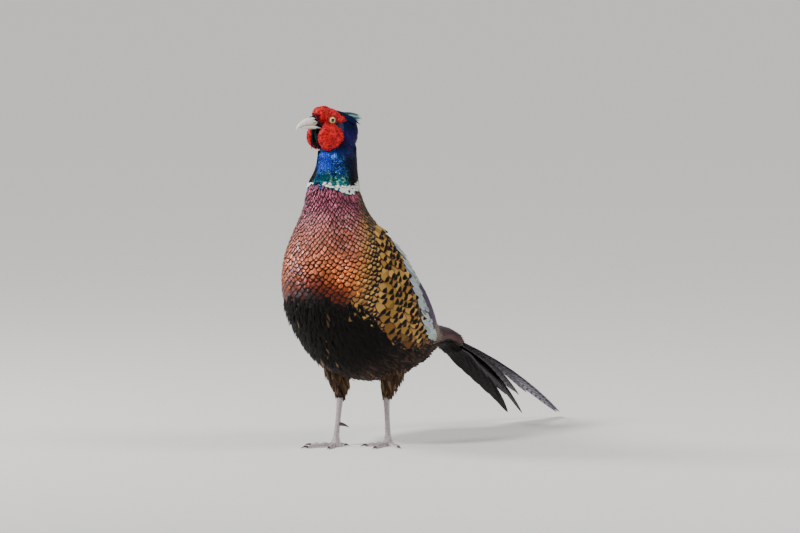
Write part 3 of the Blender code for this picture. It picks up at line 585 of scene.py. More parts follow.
# One skin through head, neck, trunk and thighs, a coat's depth inside the solids.
skin = {
    "depth": 0.0020,
    "voxel": 0.0022,
    "smoothing": 5,
    "skull": (
        (-0.0262, -0.0105, 0.0062, 0.0066),
        (-0.0240, -0.0128, 0.0095, 0.0085),
        (-0.0180, -0.0165, 0.0138, 0.0108),
        (-0.0090, -0.0220, 0.0162, 0.0132),
        (0.0000, -0.0280, 0.0162, 0.0148),
        (0.0100, -0.0330, 0.0144, 0.0160),
        (0.0200, -0.0360, 0.0114, 0.0164),
        (0.0290, -0.0370, 0.0062, 0.0155),
        (0.0355, -0.0350, -0.0005, 0.0128),
        (0.0398, -0.0290, -0.0095, 0.0070),
    ),
    "skullShrink": 0.90,
    "neckTop": ((0.3, 0.96, 0.93), (0.62, 0.88, 0.80), (1.0, 0.66, 0.62)),  # share, size, narrowing
    "neckInside": (0.0, 0.0150, -0.0100),  # where the neck ends, in the head's axes
    "neckShrink": 0.93,
    "thigh": ((0.0, 0.0052, 0.0060), (0.10, 0.0085, 0.0105), (0.26, 0.0140, 0.0190), (0.46, 0.0205, 0.0290),
              (0.70, 0.0235, 0.0345), (1.0, 0.0180, 0.0260)),
    "hip": (0.042, 0.014, 0.170),  # aside, behind the hock, height
}
wingMound = {
    "start": 7.6,  # station where the folded wing begins
    "run": 5.0,  # stations along it
    "crest": 134.0,  # degrees of its middle at the start
    "fall": 22.0,  # degrees that its middle comes down
    "width": 26.0,  # degrees from its middle to its edge
    "rise": 0.0066,  # how far it stands off the trunk
}
legs = {
    "hockZ": 0.072,
    "right": {"side": -1, "hock": (-0.026, -0.020), "foot": (-0.027, -0.031), "out": 25.0},
    "left": {"side": 1, "hock": (0.027, 0.021), "foot": (0.0275, 0.025), "out": 12.0},
}


def wingSurface(stations, angles):
    # the trunk with the folded wings' low mounds on it
    share = (stations - wingMound["start"]) / wingMound["run"]
    swell = np.maximum(np.sin(np.pi * (0.05 + 0.78 * np.clip(share, -0.06, 1.2))), 0.0)
    reach = np.abs(angles) - wingMound["crest"] + wingMound["fall"] * share
    reach = reach / (wingMound["width"] * (0.1 + 0.9 * swell))
    rise = wingMound["rise"] * swell * np.sqrt(np.maximum(0.0, 1.0 - reach**2))
    return lifted(trunkSurface, stations, angles, rise)


def thighRings(word):
    spec = legs[word]
    hock = np.array((*spec["hock"], legs["hockZ"]))
    aside, behind, high = skin["hip"]
    hip = np.array((aside * spec["side"], spec["hock"][1] + behind, high))
    return np.stack([
        oval(hock + (hip - hock) * share, leftward, backward, max(across - skin["depth"], 0.002),
             max(deep - skin["depth"], 0.002), 24)
        for share, across, deep in skin["thigh"]])


def makeSkin():
    turn = np.arange(48) * 7.5
    stations = np.arange(0.0, 19.01, 0.25)
    grid = lifted(trunkSurface, *np.meshgrid(stations, turn, indexing="ij"), -skin["depth"])
    top = trunkSurface(np.zeros(48), turn)
    middle = top.mean(axis=0)
    inner = np.array(headAxes @ Vector(skin["neckInside"]))
    stub = [
        middle + (inner - middle) * share
        + (top - middle) * np.array((narrow, size, size)) * skin["neckShrink"]
        for share, size, narrow in reversed(skin["neckTop"])]
    trunk = np.concatenate([np.stack(stub), grid])
    skull = levelRings(skin["skull"], 28, 32)
    centre = skull.mean(axis=1, keepdims=True)
    skull = turned(centre + (skull - centre) * skin["skullShrink"], headAxes)
    parts = [tube(trunk[:, ::-1]), tube(skull[:, ::-1])]
    parts += [tube(thighRings(word)) for word in ("left", "right")]
    return fused(parts, skin["voxel"], skin["smoothing"])


skinMade, skinNormals = makeSkin()
skinPoints, skinLoops, _ = skinMade
trunkStations, trunkAngles = (value.ravel() for value in np.meshgrid(
    np.arange(0.0, 19.01, 0.2), np.arange(-180.0, 180.0, 6.0), indexing="ij"))
trunkTree = KDTree(len(trunkStations))
for k, point in enumerate(trunkSurface(trunkStations, trunkAngles)):
    trunkTree.insert(point, k)
trunkTree.balance()
inHead = turned(skinPoints, headAxes.inverted())
onTrunk = np.array([trunkTree.find(point)[1] for point in skinPoints])
onHead = (inHead[:, 1] < 0.045) & (inHead[:, 2] > -0.058)
onThigh = (skinPoints[:, 2] < 0.118) & (np.abs(skinPoints[:, 1] - 0.015) < 0.075)


def headTint(local):
    # navy crown and nape, black about the bill and throat, teal behind, blue where the neck begins
    _, y, z = local.T
    return painted(
        hue["navy"],
        ("neckTeal", smooth(0.004, 0.024, y) * smooth(0.0, 0.012, z)),
        ("neckPurple", smooth(-0.004, -0.022, z)),
        ("black", smooth(-0.004, -0.016, y)),
        ("black", 0.8 * smooth(-0.014, -0.026, z) * smooth(0.022, 0.004, y)),
        (hue["neckBlue"] * 1.5, smooth(-0.034, -0.054, z) * smooth(0.030, 0.010, y)))


def dressSkin():
    # Downy skin: the matt ground that shows between the feathers, so it takes the plumage's own colours.
    material = makeMaterial("downySkin", {"Roughness": 0.8, "Sheen Weight": 0.15}, [
        ("tint", "Attribute", {"attribute_name": "plumageTint"}),
        ("place", "TexCoord"),
        ("down", "TexNoise", {"Vector": "place.Object", "Scale": 420.0, "Detail": 4.0}),
        ("shade", "Math MULTIPLY_ADD", "down", 0.9, 0.15),
        ("colour", "VectorMath SCALE", "tint.Color", {"Scale": "shade"}),
        ("bump", "Bump", {"Strength": 0.6, "Distance": 0.0005, "Height": "down"}),
    ])
    tint = trunkSkinTint(trunkStations[onTrunk], trunkAngles[onTrunk]) * 0.75
    tint = np.where(onHead[:, None], headTint(inHead), tint)
    tint = np.where(onThigh[:, None], hue["umber"], tint)
    tint = np.column_stack([tint, np.ones(len(tint))])
    piece = meshPiece("skin", skinMade, material, {"plumageTint": tint})
    settle(piece, "torso", "head", "neck", "collar", "torso", "rump", "thigh_left", "thigh_right")


dressSkin()
print("skin", len(skinPoints), "points")

glossVane, copperVane, mattVane, barredVane = (
    featherMaterial(name, *look) for name, look in featherLooks.items())


def layTract(name, tract, surface, style, vane, slot):
    # a tract of feathers in rows; style says which to keep, and their tint, rim, rim mm and marks
    roots = trunkRows(tract)
    full = roots[0].shape
    kept, tint, rim, rimMm, marks = style(*roots[:2])
    kept = np.broadcast_to(kept, full)
    stations, angles, rowSize, stepSize = (value[kept] for value in roots)
    count = len(stations)
    length = rowSize * tract["long"] * uneven(0.08, count, 0.8, 1.25)
    half = stepSize * tract["wide"] * uneven(0.06, count, 0.8, 1.2)
    turn = np.sign(angles) * math.radians(tract.get("turn", 0.0)) + dice.normal(0, tract["ruffle"], count)
    rootLift, tipLift = tract["lifts"]
    lifts = (rootLift, tipLift * uneven(tract.get("uneven", 0.22), count, 0.3, 1.8))
    grid = layFeathers(surface, stations, angles, length, half, lifts, turn, tract["outline"])
    tint, rim = (np.broadcast_to(value, (*full, 3))[kept] for value in (tint, rim))
    rimMm, *marks = (np.broadcast_to(value, full)[kept] for value in (rimMm, *marks))
    made = batch(grid, tract["outline"], trunkBake(stations, angles), varied(tint, tract["vary"]), rim,
                 rimMm, length, half, marks)
    coatPiece(name, [made], vane, slot)


# Neck and white ring: small dense feathers with a blue and green gloss, the ring open at the throat.
neckCoat = {
    "stations": (-0.1, 3.75), "ref": 90, "low": -180.0, "high": 180.0, "rowStep": (0.0021, 0.0027),
    "step": (0.0023, 0.0030), "long": 3.3, "wide": 0.80, "lifts": (-0.0020, 0.0004), "outline": "scale",
    "ruffle": 0.10, "vary": 0.22,
}
ringAngles = (0.0, 20.0, 45.0, 75.0, 110.0, 180.0)
ringCoat = neckCoat | {
    "stations": (2.1, 3.75), "rowStep": (0.0021, 0.0022), "step": (0.0024, 0.0026), "long": 3.6,
    "wide": 0.86, "lifts": (-0.0018, 0.0010), "ruffle": 0.16, "vary": 0.05,
    "gap": (-13.0, 16.0),  # degrees where the ring is open
    "top": (ringAngles, (2.45, 2.55, 2.72, 2.95, 2.40, 2.35)),
    "foot": (ringAngles, (2.78, 2.90, 3.30, 3.68, 3.45, 3.35)),
}
unmarked = (0.0, 0.0, 0.0)  # without spot, shaft or bars


def neckStyle(stations, angles):
    wide = np.abs(angles)
    wander = spread(stations)
    patch = bell(2, 30, angles) * bell(0.55, 0.75, stations)
    # painted highlights: pale blue and mint specks in a band either side of 45 degrees stand in for glints
    # on the glossy neck
    paintedGlint = bell(43, 17, wide) * bell(0.35, 0.75, stations)
    tint = painted(
        hue["navy"] * 0.6,
        ("neckBlue", smooth(84, 44, wide + 8 * wander)),
        (hue["navy"] * 0.6, smooth(0.5, -0.3, stations + 0.4 * wander) * smooth(20, 60, wide)),
        ("neckRoyal", ((1.3 + 0.3 * wander) * patch).clip(0, 1)),
        # painted highlight: pale blue glints
        ("sky", (paintedGlint * smooth(-0.8, 1.4, spread(stations))).clip(0, 0.6)),
        ("neckTeal", 0.7 * smooth(1.1, 2.4, stations + 0.4 * wander) * smooth(92, 58, wide)),
        # painted highlight: mint glints
        ("glintMint", 0.8 * smooth(0.4, 1.2, spread(stations)) * bell(46, 20, wide) * smooth(1.0, 1.7, stations)),
        # painted shade: the front of the lower neck is laid black on the bird's right side only
        ("black", smooth(-12, -24, angles) * smooth(-80, -60, angles) * smooth(0.9, 1.5, stations)),
        ("black", 0.7 * smooth(70, 92, wide) * smooth(0.6, 1.8, stations)))
    return stations < np.interp(wide, *ringCoat["foot"]) - 0.1, tint, tint * 0.45, 0.5, unmarked


def ringStyle(stations, angles):
    low, high = ringCoat["gap"]
    ragged = angles + dice.normal(0, 2.5, len(stations))
    top, bottom = (np.interp(np.abs(angles), *ringCoat[key]) for key in ("top", "foot"))
    bite = (stations + dice.normal(0, 0.10, len(stations)) < top) | (stations > bottom - 0.12)
    bite |= (dice.random(len(stations)) < 0.22) & (stations < top + 0.15)
    tint = np.where(((ragged > low) & (ragged < high))[:, None], hue["neckBlue"] * 0.4, hue["white"])
    return ~bite, tint, tint * 0.96, 0.3, unmarked


layTract("neckFeathers", neckCoat, trunkSurface, neckStyle, glossVane, "neck")
layTract("ringFeathers", ringCoat, trunkSurface, ringStyle, mattVane, "collar")

# Breast and mantle: pointed and then rounded scales that grow from 5 to 10 mm, each with a thin black rim.
breastCoat = {
    "stations": (2.75, 13.9), "ref": 30, "low": -180.0, "high": 180.0, "rowStep": (0.0040, 0.0068),
    "around": 50, "step": (0.0054, 0.0098), "long": 3.1, "wide": 0.60, "lifts": (-0.0018, 0.0014),
    "outline": "scale",
    "ruffle": 0.05, "vary": 0.20, "stray": 0.045,
}
# Flanks: long ochre feathers, each with a black spot near its tip.
flankCoat = {
    "stations": (6.3, 12.6), "ref": 80, "low": flankEdge, "high": wingLow, "rowStep": (0.0078, 0.0116),
    "around": 44, "step": (0.0100, 0.0125), "long": 2.9, "wide": 0.62, "lifts": (-0.0008, 0.0046),
    "outline": "scale", "ruffle": 0.09, "vary": 0.10, "turn": 5.0, "bothSides": True, "stray": 0.09,
}
# Belly and vent: soft black and brown feathers with loose barbs.
bellyCoat = {
    "stations": (8.0, 18.6), "ref": 20, "low": -100.0, "high": 100.0, "rowStep": (0.0048, 0.0062),
    "step": (0.0052, 0.0060), "long": 3.6, "wide": 0.55, "lifts": (-0.0010, 0.0042), "outline": "lax",
    "ruffle": 0.22, "vary": 0.30,
}


def breastStyle(stations, angles):
    wide = np.abs(angles)
    wander = spread(stations)
    edge = wide - np.interp(stations, *flankEdge)
    # painted highlights: pale lilac right of the breast's front and high on its left side, standing in for
    # the glossy scales' sheen
    pale = bell(-22, 24, angles) * bell(6.2, 1.5, stations)
    pale = pale + 0.7 * bell(62, 26, angles) * bell(5.6, 1.0, stations)
    gold = smooth(-40, -12, edge) * smooth(30, 10, edge) * smooth(4.6, 6.0, stations)
    gold = gold * smooth(1.6, -0.6, wander)
    back = smooth(122, 140, wide + 5 * wander)
    tint = painted(
        trunkSkinTint(stations + 0.12 * wander, angles + 4 * wander),
        ("highlightLilac", (0.6 * pale * smooth(-1.2, 1.6, wander)).clip(0, 0.7)),
        (hue["gold"] * 1.25, 0.75 * gold),
        (hue["umber"] * 1.5, back))
    under = (stations > np.interp(wide, *bellyEdge) + 0.5) & (wide < 90)
    covered = (stations > 8.6) & (wide > np.interp(stations, *wingLow) + 14)
    above = stations < np.interp(wide, *ringCoat["foot"])
    rimMm = np.interp(stations, (4, 6, 8, 9), (1.0, 1.5, 1.9, 2.2)) + 0.7 * smooth(-20, 0, edge)
    tip = smooth(-34, -8, edge) * smooth(5.5, 6.5, stations)
    return ~(under | covered | above), tint, mixed(hue["black"], hue["gold"], back), rimMm, (tip, 0.0, 0.0)


def upperStyle(stations, angles):
    kept, *rest = breastStyle(stations, angles)
    return kept & (stations < 6.5), *rest


def lowerStyle(stations, angles):
    kept, *rest = breastStyle(stations, angles)
    return kept & (stations >= 6.5), *rest


def flankStyle(stations, angles):
    low = smooth(12, 0, np.abs(angles) - np.interp(stations, *flankEdge)) * smooth(8.5, 10.5, stations)
    tint = painted(hue["buff"], ("gold", smooth(-0.8, 1.0, spread(stations))), ("chestnut", 0.75 * low))
    spot = np.where(dice.random(len(stations)) < 0.97, 1.0, 0.4)
    return True, tint * 0.92, hue["chestnut"] * 0.8, 1.2, (spot, 0.0, 0.0)


def bellyStyle(stations, angles):
    wide = np.abs(angles)
    wander = spread(stations)
    tint = painted(
        hue["black"],
        (hue["umber"] * 1.5, smooth(10.5, 13.0, stations + 0.7 * wander)),
        ("tan", 0.5 * (dice.random(len(stations)) < 0.04) * smooth(35, 10, np.abs(angles + 5))),
        ("brown", 0.7 * smooth(10.2, 11.8, stations) * smooth(0.0, 1.4, spread(stations))),
        ("black", smooth(14.5, 16.5, stations)))
    kept = stations > np.interp(wide, *bellyEdge) + 0.1 * wander
    kept &= wide < 62 + 4 * wander + 40 * smooth(10.0, 12.5, stations) - 48 * smooth(13.0, 16.0, stations)
    return kept, tint, tint * 1.1, 0.4, unmarked


pointed = breastCoat | {"outline": "point"}
layTract("upperBreastFeathers", pointed, trunkSurface, upperStyle, copperVane, "torso")
layTract("lowerBreastFeathers", breastCoat, trunkSurface, lowerStyle, copperVane, "torso")
layTract("bellyFeathers", bellyCoat, trunkSurface, bellyStyle, mattVane, "torso")
layTract("flankFeathers", flankCoat, wingSurface, flankStyle, mattVane, "torso")

# Folded wings, from the lowest tier up.
wingTiers = (
    # station and degrees (first to last quill) at root and tip, number, half width, lifts at root and tip,
    # colour, rim colour, rim mm, strengths of shaft and bars
    (11.2, (104, 120), 15.3, (99, 115), 6, 0.0085, (0.0018, 0.0022), "brown", "tan", 0.8, 1.0, 1.0),
    (9.8, (107, 144), 14.2, (97, 138), 12, 0.0100, (0.0022, 0.0040), "brown", "tan", 0.8, 1.0, 1.0),
    (9.1, (114, 150), 12.9, (103, 144), 15, 0.0080, (0.0026, 0.0048), "plum", "maroon", 1.6, 0.0, 0.0),
)
# Upper wing and back, rows from front to back.
covertCoat = {
    "stations": (7.9, 12.6), "ref": 115,
    "low": ((7.9, 9.0, 10.0, 11.0, 12.6), (133.0, 117.0, 108.5, 101.0, 95.0)),
    "high": ((7.9, 9.0, 10.0, 11.0, 12.6), (142.0, 126.5, 117.0, 109.0, 101.5)), "rowStep": (0.0066, 0.0090),
    "step": (0.0062, 0.0075), "long": 2.9, "wide": 0.62, "lifts": (0.0040, 0.0074), "outline": "blunt",
    "ruffle": 0.06, "vary": 0.08, "turn": -3.0, "bothSides": True, "uneven": 0.06, "stray": 0.05,
}
scapularCoat = {
    "stations": (7.2, 13.4), "ref": 165, "high": 180.0,
    "low": ((7.2, 8.5, 9.0, 10.0, 11.0, 12.0, 13.4), (146.0, 138.0, 130.0, 122.0, 113.0, 106.0, 100.0)),
    "rowStep": (0.0085, 0.0105), "step": (0.0090, 0.0105), "long": 3.0, "wide": 0.60,
    "lifts": (0.0004, 0.0046), "outline": "scale", "ruffle": 0.10, "vary": 0.16, "turn": 3.0,
    "bothSides": True,
}
rumpCoat = {
    "stations": (12.2, 18.4), "ref": 160, "low": ((12.2, 13.5, 18.4), (98.0, 72.0, 70.0)), "high": 180.0,
    "rowStep": (0.0066, 0.0052), "step": (0.0040, 0.0036), "long": 3.6, "wide": 0.52,
    "lifts": (-0.0010, 0.0010), "outline": "lax", "ruffle": 0.07, "vary": 0.22, "turn": 2.0,
    "bothSides": True,
}


def covertStyle(stations, angles):
    tint = painted(hue["grey"], ("ash", smooth(-0.2, 1.6, spread(stations))))
    return True, tint, hue["grey"] * 1.25, 0.9, (0.0, 0.25, 0.0)


def scapularStyle(stations, angles):
    wander = spread(stations)
    front = (stations + 0.3 * wander < 8.6)[:, None]
    tint = painted(
        hue["maroon"],
        ("plum", smooth(9.0, 12.0, stations + 0.5 * wander)),
        ("chestnut", smooth(0.3, 1.4, wander)))
    rim = np.where(front, hue["gold"], hue["maroon"] * 1.5)
    return True, np.where(front, hue["umber"] * 1.6, tint), rim, 1.1, (0.0, 0.3, 0.0)


def rumpStyle(stations, angles):
    wide = np.abs(angles)
    wander = spread(stations)
    tint = painted(
        hue["plum"],
        ("maroon", smooth(13.0, 15.0, stations + 0.6 * wander)),
        ("dusk", smooth(13.6, 15.6, stations) * smooth(120, 150, wide)),
        (hue["chestnut"] * 0.7, 0.85 * smooth(128, 92, wide + 6 * wander)),
        ("brown", 0.5 * smooth(0.4, 1.6, wander)),
        ("mist", 0.5 * smooth(15.5, 17.5, stations) * smooth(140, 165, wide)))
    return True, tint, tint * 1.25, 0.5, unmarked


def layQuills(p, q, tipP, tipQ, half, lifts):
    # long feathers from root to tip, each held to the wing's surface along its whole length
    v, w, u = vaneShape("quill")
    p, q, tipP, tipQ = (value[:, None, None] for value in (p, q, tipP, tipQ))
    side = np.sign(q)
    p, q = p + (tipP - p) * v + 0 * u, q + (tipQ - q) * v + 0 * u
    _, perQ = surfaceScale(trunkSurface, p, q)
    lift = lifts[0] + (lifts[1] - lifts[0]) * np.minimum(1.0, v / 0.5) + 0.22 * half * w * (1 - u**2)
    lift = lift + 0.0006 * u * side  # the upper edge of each lies on its neighbour
    return lifted(wingSurface, p, q + u * w * half / perQ, lift)


def quillPiece(name, batches, slot, *nodes):
    # quills have a strip each of the baked map, so that their bars keep their place
    total = sum(len(one["grid"]) for one in batches)
    mesh = coatPiece(name, batches, barredVane, slot, *nodes).data
    local = pulled(mesh.uv_layers["featherUV"].data, "uv", 2, np.float32)
    quill = pulled(mesh.loops, "vertex_index") // (len(mesh.vertices) // total)
    strip = np.column_stack([(quill + 0.06 + 0.88 * local[:, 0]) / total, 0.01 + 0.98 * local[:, 1]])
    mesh.uv_layers["OFBake"].data.foreach_set("uv", strip.astype(np.float32).ravel())


def wingBatches():
    made = []
    for rootP, rootQ, tipP, tipQ, count, half, lifts, tint, rim, rimMm, shaft, bars in wingTiers:
        share = np.linspace(0, 1, count)
        p, tips = np.full(count, rootP), tipP + 0.35 * np.sin(np.pi * share)
        for side in (1, -1):
            q, aside = (side * np.interp(share, (0, 1), ends) for ends in (rootQ, tipQ))
            perP, perQ = surfaceScale(trunkSurface, p + (tips - p) / 2, q)
            length = np.hypot((tips - p) * perP, (aside - q) * perQ)
            made.append(batch(layQuills(p, q, tips, aside, half, lifts), "quill", np.zeros((count, 2)),
                              varied(np.tile(hue[tint], (count, 1)), 0.1), hue[rim], rimMm, length, half,
                              (0.0, shaft, bars)))
    return made


quillPiece("wingQuills", wingBatches(), "wing", "wing_left", "wing_right")
layTract("wingCoverts", covertCoat, wingSurface, covertStyle, mattVane, "wing")
layTract("scapularFeathers", scapularCoat, wingSurface, scapularStyle, copperVane, "wing")
layTract("rumpFeathers", rumpCoat, trunkSurface, rumpStyle, copperVane, "rump")

# Tail: eighteen tapered feathers fanned from one root, the long central pair on top.
tail = {
    "root": Vector((0.0, 0.2050, 0.1420)),
    "slope": -23.5,  # degrees below level
    "length": 0.328,
    "start": 0.014,
    "arch": 0.006,
    "droop": 0.010,
    "pairs": ((1.0, 0.0), (0.68, 1.0), (0.62, 4.0), (0.68, 9.5), (0.60, 9.0), (0.51, 9.0), (0.42, 9.0),
              (0.34, 9.0), (0.27, 9.0)),  # share of the length, degrees downward
    "half": 0.0112,
}


def tailFeather(pair, side):
    share = pair / (len(tail["pairs"]) - 1)
    part, down = tail["pairs"][pair]
    length, down = tail["length"] * part, math.radians(down)
    out, sink, roll = 0.0022, 0.0004 * (1 - side), 0.0
    if pair:
        out, sink, roll = 0.0086 + 0.0006 * pair, 0.0008 + 0.0014 * pair, math.radians(6.0 + 26.0 * share)
    half = tail["half"] - 0.0022 * share
    v, w, u = (value[0] for value in vaneShape("quill"))
    reach = tail["start"] + (length - tail["start"]) * v
    aside = side * (out * np.minimum(1.0, 0.4 + 1.5 * v) + reach * 0.03 * share)
    fall = sink + reach * math.sin(down) * (0.55 + 0.45 * v) + tail["droop"] * v**2 * (1.0 - share)
    lift = 0.0060 + tail["arch"] * np.sin(np.pi * v)
    turn = side * roll * np.minimum(1.0, 0.2 + v)
    across = u * w * half
    crown = 0.0005 - 0.12 * half * w * np.abs(u)
    grid = np.stack([
        aside + across * np.cos(turn) + crown * np.sin(turn),
        reach * math.cos(down) + 0 * u,
        lift - fall - across * np.sin(turn) + crown * np.cos(turn),
    ], axis=-1)
    place = Matrix.Translation(tail["root"]) @ Matrix.Rotation(math.radians(tail["slope"]), 4, "X")
    return turned(grid, place), length, half


def tailBatches():
    made = []
    for pair in range(len(tail["pairs"])):
        # painted shade: all but the central pairs go near black in tint and rim, for the tail's sides and
        # underside seen in shadow
        dark = smooth(0.5, 2.5, np.array([float(pair)]))
        tint = mixed(hue["tan"] * 0.55, hue["black"] * 0.5, dark)
        rim = mixed(hue["mist"], hue["black"], dark)
        marks = (0.0, 0.5 * (1 - dark), 1.0 if pair < 5 else 0.5)
        for side in (1, -1):
            grid, length, half = tailFeather(pair, side)
            made.append(batch(grid[None], "quill", np.zeros((1, 2)), tint, rim, 3.0 if pair < 2 else 1.2,
                              length, half, marks))
    return made


quillPiece("tailFeathers", tailBatches(), "tail", "tail")
print("trunk, wings and tail are feathered")


def scatter(points, normals, loops, keep, gap):
    # evenly spaced places on a skin's faces where keep is true for their corners
    quads = loops.reshape(-1, 4)
    quads = quads[keep[quads].all(axis=1)]
    corners = points[quads]
    crossed = np.cross(corners[:, 2] - corners[:, 0], corners[:, 3] - corners[:, 1])
    areas = np.linalg.norm(crossed, axis=1) / 2
    number = int(areas.sum() / gap**2 * 6)  # tries, far more than find room
    pick = dice.choice(len(quads), number, p=areas / areas.sum())
    s, t = dice.random((2, number))
    weights = np.stack([(1 - s) * (1 - t), s * (1 - t), s * t, (1 - s) * t], -1)[..., None]
    spots = (corners[pick] * weights).sum(axis=1)
    facing = unit((normals[quads][pick] * weights).sum(axis=1))
    taken, kept = {}, []
    beside = [(a, b, c) for a in (-1, 0, 1) for b in (-1, 0, 1) for c in (-1, 0, 1)]
    for k, cell in enumerate(np.floor(spots / gap).astype(int).tolist()):
        near = [j for a, b, c in beside for j in taken.get((cell[0] + a, cell[1] + b, cell[2] + c), ())]
        if all(np.dot(spots[k] - spots[j], spots[k] - spots[j]) >= gap * gap for j in near):
            taken.setdefault(tuple(cell), []).append(k)
            kept.append(k)
    return spots[kept], facing[kept]


# Red face skin: comb, brow, hind corner, bridge and the hanging lobe, all beset with papillae.
faceSkin = {
    "forms": {  # the left side's parts: centre and radii
        "lobe": ((0.0198, -0.0092, -0.0250), (0.0074, 0.0199, 0.0191)),
        "comb": ((0.0082, -0.0150, 0.0084), (0.0072, 0.0140, 0.0117)),
        "brow": ((0.0086, -0.0060, 0.0064), (0.0054, 0.0140, 0.0098)),
        "orbit": ((0.0098, -0.0036, 0.0028), (0.0048, 0.0150, 0.0104)),
        "hindCorner": ((0.0110, 0.0110, -0.0005), (0.0038, 0.0121, 0.0051)),
        "bridge": ((0.0110, -0.0060, -0.0100), (0.0052, 0.0116, 0.0091)),
    },
    "farForms": {  # what is smaller on the far side
        "lobe": ((0.0190, -0.0092, -0.0250), (0.0074, 0.0199, 0.0191)),
        "comb": ((0.0082, -0.0135, 0.00756), (0.0072, 0.01134, 0.01053)),
        "brow": ((0.0086, -0.0060, 0.0064), (0.0054, 0.0140, 0.00882)),
    },
    "voxel": 0.00055,
    "smoothing": 10,
    "fold": 0.00045,
    "hollow": 0.0057,  # radius of the eye's hollow
    "grain": 0.00190,  # spacing of the papillae
    "grainSize": 0.00092,
    "strip": (-0.0242, -0.007, 0.0085),  # black feathers by the bill: hind edge, lowest and highest
    "patch": ((0.0066, -0.0076), (0.0076, 0.0033)),  # and under the eye: centre and radii
}


def ellipsoid(centre, radii, count=40, rows=24):
    polar = np.linspace(0.02, np.pi - 0.02, rows)[:, None]
    turn = np.arange(count)[None, :] * 2 * np.pi / count
    points = np.stack([
        np.sin(polar) * np.cos(turn), np.sin(polar) * np.sin(turn), np.cos(polar) + 0 * turn], -1)
    return tube((points * np.array(radii) + np.array(centre))[::-1])


def faceForm(side):
    # one side's face skin in the head's axes, with a hollow for the eyeball
    forms = faceSkin["forms"] | (faceSkin["farForms"] if side < 0 else {})
    parts = [ellipsoid((x * side, y, z), radii) for (x, y, z), radii in forms.values()]
    (points, loops, sizes), _ = fused(parts, faceSkin["voxel"], faceSkin["smoothing"])
    fold = np.sin((points[:, 2] * 0.9 + points[:, 1] * 0.35) / 0.0031 + 2.0 * np.sin(points[:, 1] / 0.006))
    points[:, 0] += side * faceSkin["fold"] * fold * smooth(-0.006, -0.014, points[:, 2])  # down the lobe
    out = points[:, 0] * side
    reach = np.hypot(points[:, 1] - head["eye"][1], points[:, 2] - head["eye"][2])
    socket = 0.0112 + 0.0050 * np.sqrt(np.maximum(1 - (reach / 0.0063) ** 2, 0.0))
    inside = (reach < faceSkin["hollow"]) & (out > 0)
    points[:, 0] = np.where(inside, side * np.minimum(out, socket), points[:, 0])
    return points, loops, sizes


def blackPlaces(points, side):
    # where black feathers grow on the red skin
    hind, low, high = faceSkin["strip"]
    (y, z), (wide, tall) = faceSkin["patch"]
    strip = (points[:, 1] < hind) & (points[:, 2] > low) & (points[:, 2] < high)
    under = ((points[:, 1] - y) / wide) ** 2 + ((points[:, 2] - z) / tall) ** 2 < 1
    return strip | (under & (points[:, 0] * side > 0.006))


def faceMaterial():
    # Bare papillate skin: blood-red, moist enough for small highlights, with painted highlight on each
    # papilla's crown and painted shade down in the grooves between them.
    return makeMaterial("papillateSkin", {
        "Roughness": 0.45, "Specular IOR Level": 0.28, "Subsurface Weight": 0.08,
        "Subsurface Scale": 0.002}, [
        ("place", "TexCoord"),
        ("patch", "TexNoise", {"Vector": "place.Object", "Scale": 260.0, "Detail": 1.5}),
        ("grain", "TexVoronoi", {"Vector": "place.Object", "Scale": 1 / 0.0012}),
        ("crown", "Attribute", {"attribute_name": "grainHeight"}),
        # painted highlight and shade: each papilla lighter at its crown and darker at its base
        ("height", "Math MULTIPLY_ADD", "crown.Fac", 0.35, -0.75),
        ("bright", "Math MULTIPLY_ADD", "patch", 2.2, "height"),
        ("colour", "ValToRGB", "bright", {
            "stops": ((0.08, "#7a0005"), (1.0, "#fa1626"), (0.58, "#cc0009"))}),
        ("bump", "Bump", {"invert": True, "Strength": 0.5, "Distance": 0.0004, "Height": "grain.Distance"}),
    ])


def grainTree(material):
    # papillae: small rounded grains on every bare part of the red skin
    tree = bpy.data.node_groups.new("papillae", "GeometryNodeTree")
    given = {"Geometry": "Geometry", "Spacing": "Float", "Grain radius": "Float", "Seed": "Int"}
    for name, kind in given.items():
        tree.interface.new_socket(name=name, in_out="INPUT", socket_type="NodeSocket" + kind)
    tree.interface.new_socket(name="Geometry", in_out="OUTPUT", socket_type="NodeSocketGeometry")
    made = addNodes(tree, [
        ("given", "NodeGroupInput"),
        ("bare", "GeometryNodeInputNamedAttribute", {"data_type": "FLOAT", "Name": "bareSkin"}),
        ("places", "GeometryNodeDistributePointsOnFaces", {
            "distribute_method": "POISSON", "Mesh": "given.Geometry", "Selection": "bare.Attribute",
            "Distance Min": "given.Spacing", "Density Max": 1.2e6, "Seed": "given.Seed"}),
        ("grain", "GeometryNodeMeshUVSphere", {"Radius": "given.Grain radius", "Segments": 8, "Rings": 5}),
        ("size", "FunctionNodeRandomValue", {"data_type": "FLOAT", 2: 0.7, 3: 1.2, "Seed": "given.Seed"}),
        ("place", "GeometryNodeInputPosition"),
        ("height", "SeparateXYZ", "place"),
        ("share", "Math DIVIDE", "height.Z", "given.Grain radius"),
        # each grain's height, for the painted highlight on its crown and painted shade at its base
        ("marked", "GeometryNodeStoreNamedAttribute", {
            "data_type": "FLOAT", "domain": "POINT", "Geometry": "grain", "Name": "grainHeight",
            "Value": "share"}),
        ("stand", "GeometryNodeInstanceOnPoints", {
            "Points": "places.Points", "Instance": "marked", "Rotation": "places.Rotation",
            "Scale": "size.1"}),
        ("real", "GeometryNodeRealizeInstances", {"Geometry": "stand"}),
        ("both", "GeometryNodeJoinGeometry", {"Geometry": "real"}),
        ("soft", "GeometryNodeSetShadeSmooth", {"Geometry": "both"}),
        ("painted", "GeometryNodeSetMaterial", {"Geometry": "soft", "Material": material}),
        ("out", "NodeGroupOutput", {"Geometry": "painted"}),
    ])
    tree.links.new(made["given"].outputs["Geometry"], made["both"].inputs["Geometry"])
    return tree


